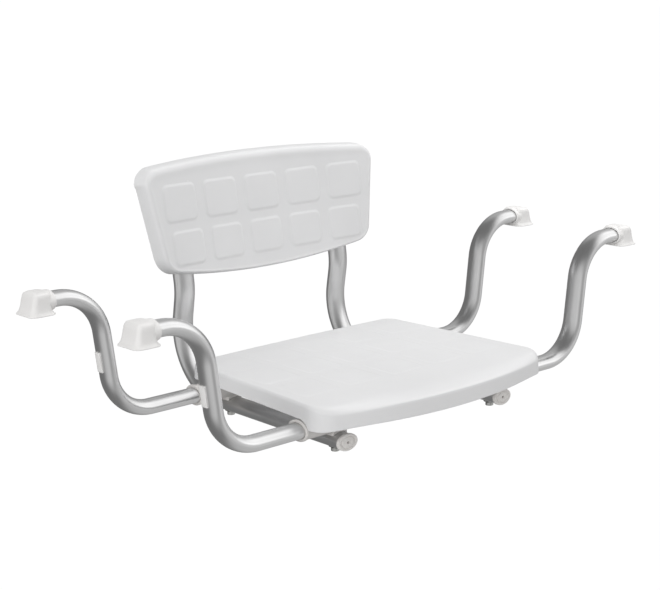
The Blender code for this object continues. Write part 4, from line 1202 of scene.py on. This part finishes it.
def make_floor():
    """White floor far below; it lights nothing, so the studio's own light stays even."""
    body = bmesh.new()
    bmesh.ops.create_grid(body, x_segments=1, y_segments=1, size=FLOOR_HALF)
    floor = take("floor", body)
    floor.location = (0, 0, -FLOOR_DOWN)
    material, _, shader = new_material("floor_white")
    shader.inputs["Base Color"].default_value = (0.02, 0.02, 0.02, 1)
    shader.inputs["Roughness"].default_value = 0.9
    shader.inputs["Specular IOR Level"].default_value = 0.0
    shader.inputs["Emission Color"].default_value = (1, 1, 1, 1)
    shader.inputs["Emission Strength"].default_value = 1.0
    floor.data.materials.append(material)
    floor.visible_diffuse = False
    floor.visible_glossy = False
    floor.visible_shadow = False


# Soft boxes of the studio: way round from the front, way up, where the glow starts and
# where it is full as cosines, strength
GLOWS = (
    (66, 40, 0.70, 0.93, 1.10),
    (42, 4, 0.80, 0.96, 0.35),
    (-72, -4, 0.60, 0.94, 0.52),
    (-10, -8, 0.55, 0.95, 0.22),
    (70, -50, 0.50, 0.95, 0.40),
    (128, 40, 0.78, 0.97, 0.34),
)
STUDIO_DARK = 0.20


def way_to(azimuth, elevation):
    """Way to a place, in degrees round from the front and up."""
    turn, rise = math.radians(azimuth), math.radians(elevation)
    flat = math.cos(rise)
    return Vector((math.sin(turn) * flat, -math.cos(turn) * flat, math.sin(rise)))


def make_lamp(name, kind, place, aim, strength, size):
    """Soft lamp that gives light and shade but isn't mirrored in the tubes."""
    light = bpy.data.lights.new(name, kind)
    light.energy = strength
    if kind == "SUN":
        light.angle = size
    else:
        light.size = size
    lamp = bpy.data.objects.new(name, light)
    lamp.location = place
    lamp.rotation_euler = (Vector(aim) - Vector(place)).to_track_quat("-Z", "Y").to_euler()
    lamp.visible_glossy = False
    bpy.context.scene.collection.objects.link(lamp)


def make_world():
    """Dim studio with soft boxes round it, and a white backdrop behind."""
    world = bpy.data.worlds.new("studio")
    world.use_nodes = True
    tree = world.node_tree
    way = tree.nodes.new("ShaderNodeTexCoord").outputs["Generated"]
    total = None
    for azimuth, elevation, start, full, strength in GLOWS:
        dot = tree.nodes.new("ShaderNodeVectorMath")
        dot.operation = "DOT_PRODUCT"
        dot.inputs[1].default_value = way_to(azimuth, elevation)
        tree.links.new(way, dot.inputs[0])
        glow = tree.nodes.new("ShaderNodeMapRange")
        glow.interpolation_type = "SMOOTHSTEP"
        glow.inputs["From Min"].default_value = start
        glow.inputs["From Max"].default_value = full
        glow.inputs["To Max"].default_value = strength
        tree.links.new(dot.outputs["Value"], glow.inputs["Value"])
        add = tree.nodes.new("ShaderNodeMath")
        add.inputs[1].default_value = STUDIO_DARK
        tree.links.new(glow.outputs["Result"], add.inputs[0])
        if total:
            tree.links.new(total, add.inputs[1])
        total = add.outputs["Value"]
    studio = tree.nodes["Background"]
    tree.links.new(total, studio.inputs["Strength"])
    studio.inputs["Color"].default_value = (1, 1, 1, 1)
    backdrop = tree.nodes.new("ShaderNodeBackground")
    backdrop.inputs["Color"].default_value = (1, 1, 1, 1)
    seen = tree.nodes.new("ShaderNodeLightPath").outputs["Is Camera Ray"]
    mix = tree.nodes.new("ShaderNodeMixShader")
    tree.links.new(seen, mix.inputs["Fac"])
    tree.links.new(studio.outputs["Background"], mix.inputs[1])
    tree.links.new(backdrop.outputs["Background"], mix.inputs[2])
    tree.links.new(mix.outputs["Shader"], tree.nodes["World Output"].inputs["Surface"])
    bpy.context.scene.world = world
    bpy.context.scene.view_settings.view_transform = "Standard"


# Camera: degrees round from the front, up and rolled; place; focal length in units of a
# picture that is PICTURE_WIDE of them wide
CAMERA_AZIMUTH, CAMERA_ELEVATION, CAMERA_ROLL = -41.3522, 12.7766, -0.7023
CAMERA_PLACE = Vector((-1.34529, -1.46717 + SHIFT, 0.57255 + ARM_Z))
FOCAL_LENGTH, PICTURE_WIDE, SENSOR_WIDE = 1522.277, 660, 36


def make_camera():
    back = way_to(CAMERA_AZIMUTH, CAMERA_ELEVATION)
    azimuth, roll = math.radians(CAMERA_AZIMUTH), math.radians(CAMERA_ROLL)
    right = Vector((math.cos(azimuth), math.sin(azimuth), 0))
    up = back.cross(right)
    across = right * math.cos(roll) + up * math.sin(roll)
    upward = up * math.cos(roll) - right * math.sin(roll)
    data = bpy.data.cameras.new("camera")
    data.lens = SENSOR_WIDE * FOCAL_LENGTH / PICTURE_WIDE
    data.sensor_width = SENSOR_WIDE
    data.sensor_fit = "HORIZONTAL"
    camera = bpy.data.objects.new("camera", data)
    turn = Matrix((across, upward, back)).transposed().to_4x4()
    camera.matrix_world = Matrix.Translation(CAMERA_PLACE) @ turn
    bpy.context.scene.collection.objects.link(camera)
    bpy.context.scene.camera = camera


make_floor()
make_world()
make_camera()
# Soft lamps: way round from the front, way up, strength and width of the glow
for name, azimuth, elevation, strength, angle in (
    ("top", 120, 72, 0.62, 60),
    ("side", -75, 24, 1.60, 60),
):
    make_lamp(name, "SUN", way_to(azimuth, elevation), (0, 0, 0), strength, math.radians(angle))
# Key lamp over the right side: place, what it is aimed at, strength and size
make_lamp("key", "AREA", (0.75, 0.10, 1.05), (0.1, 0.05, 0.07), 3.0, 0.5)
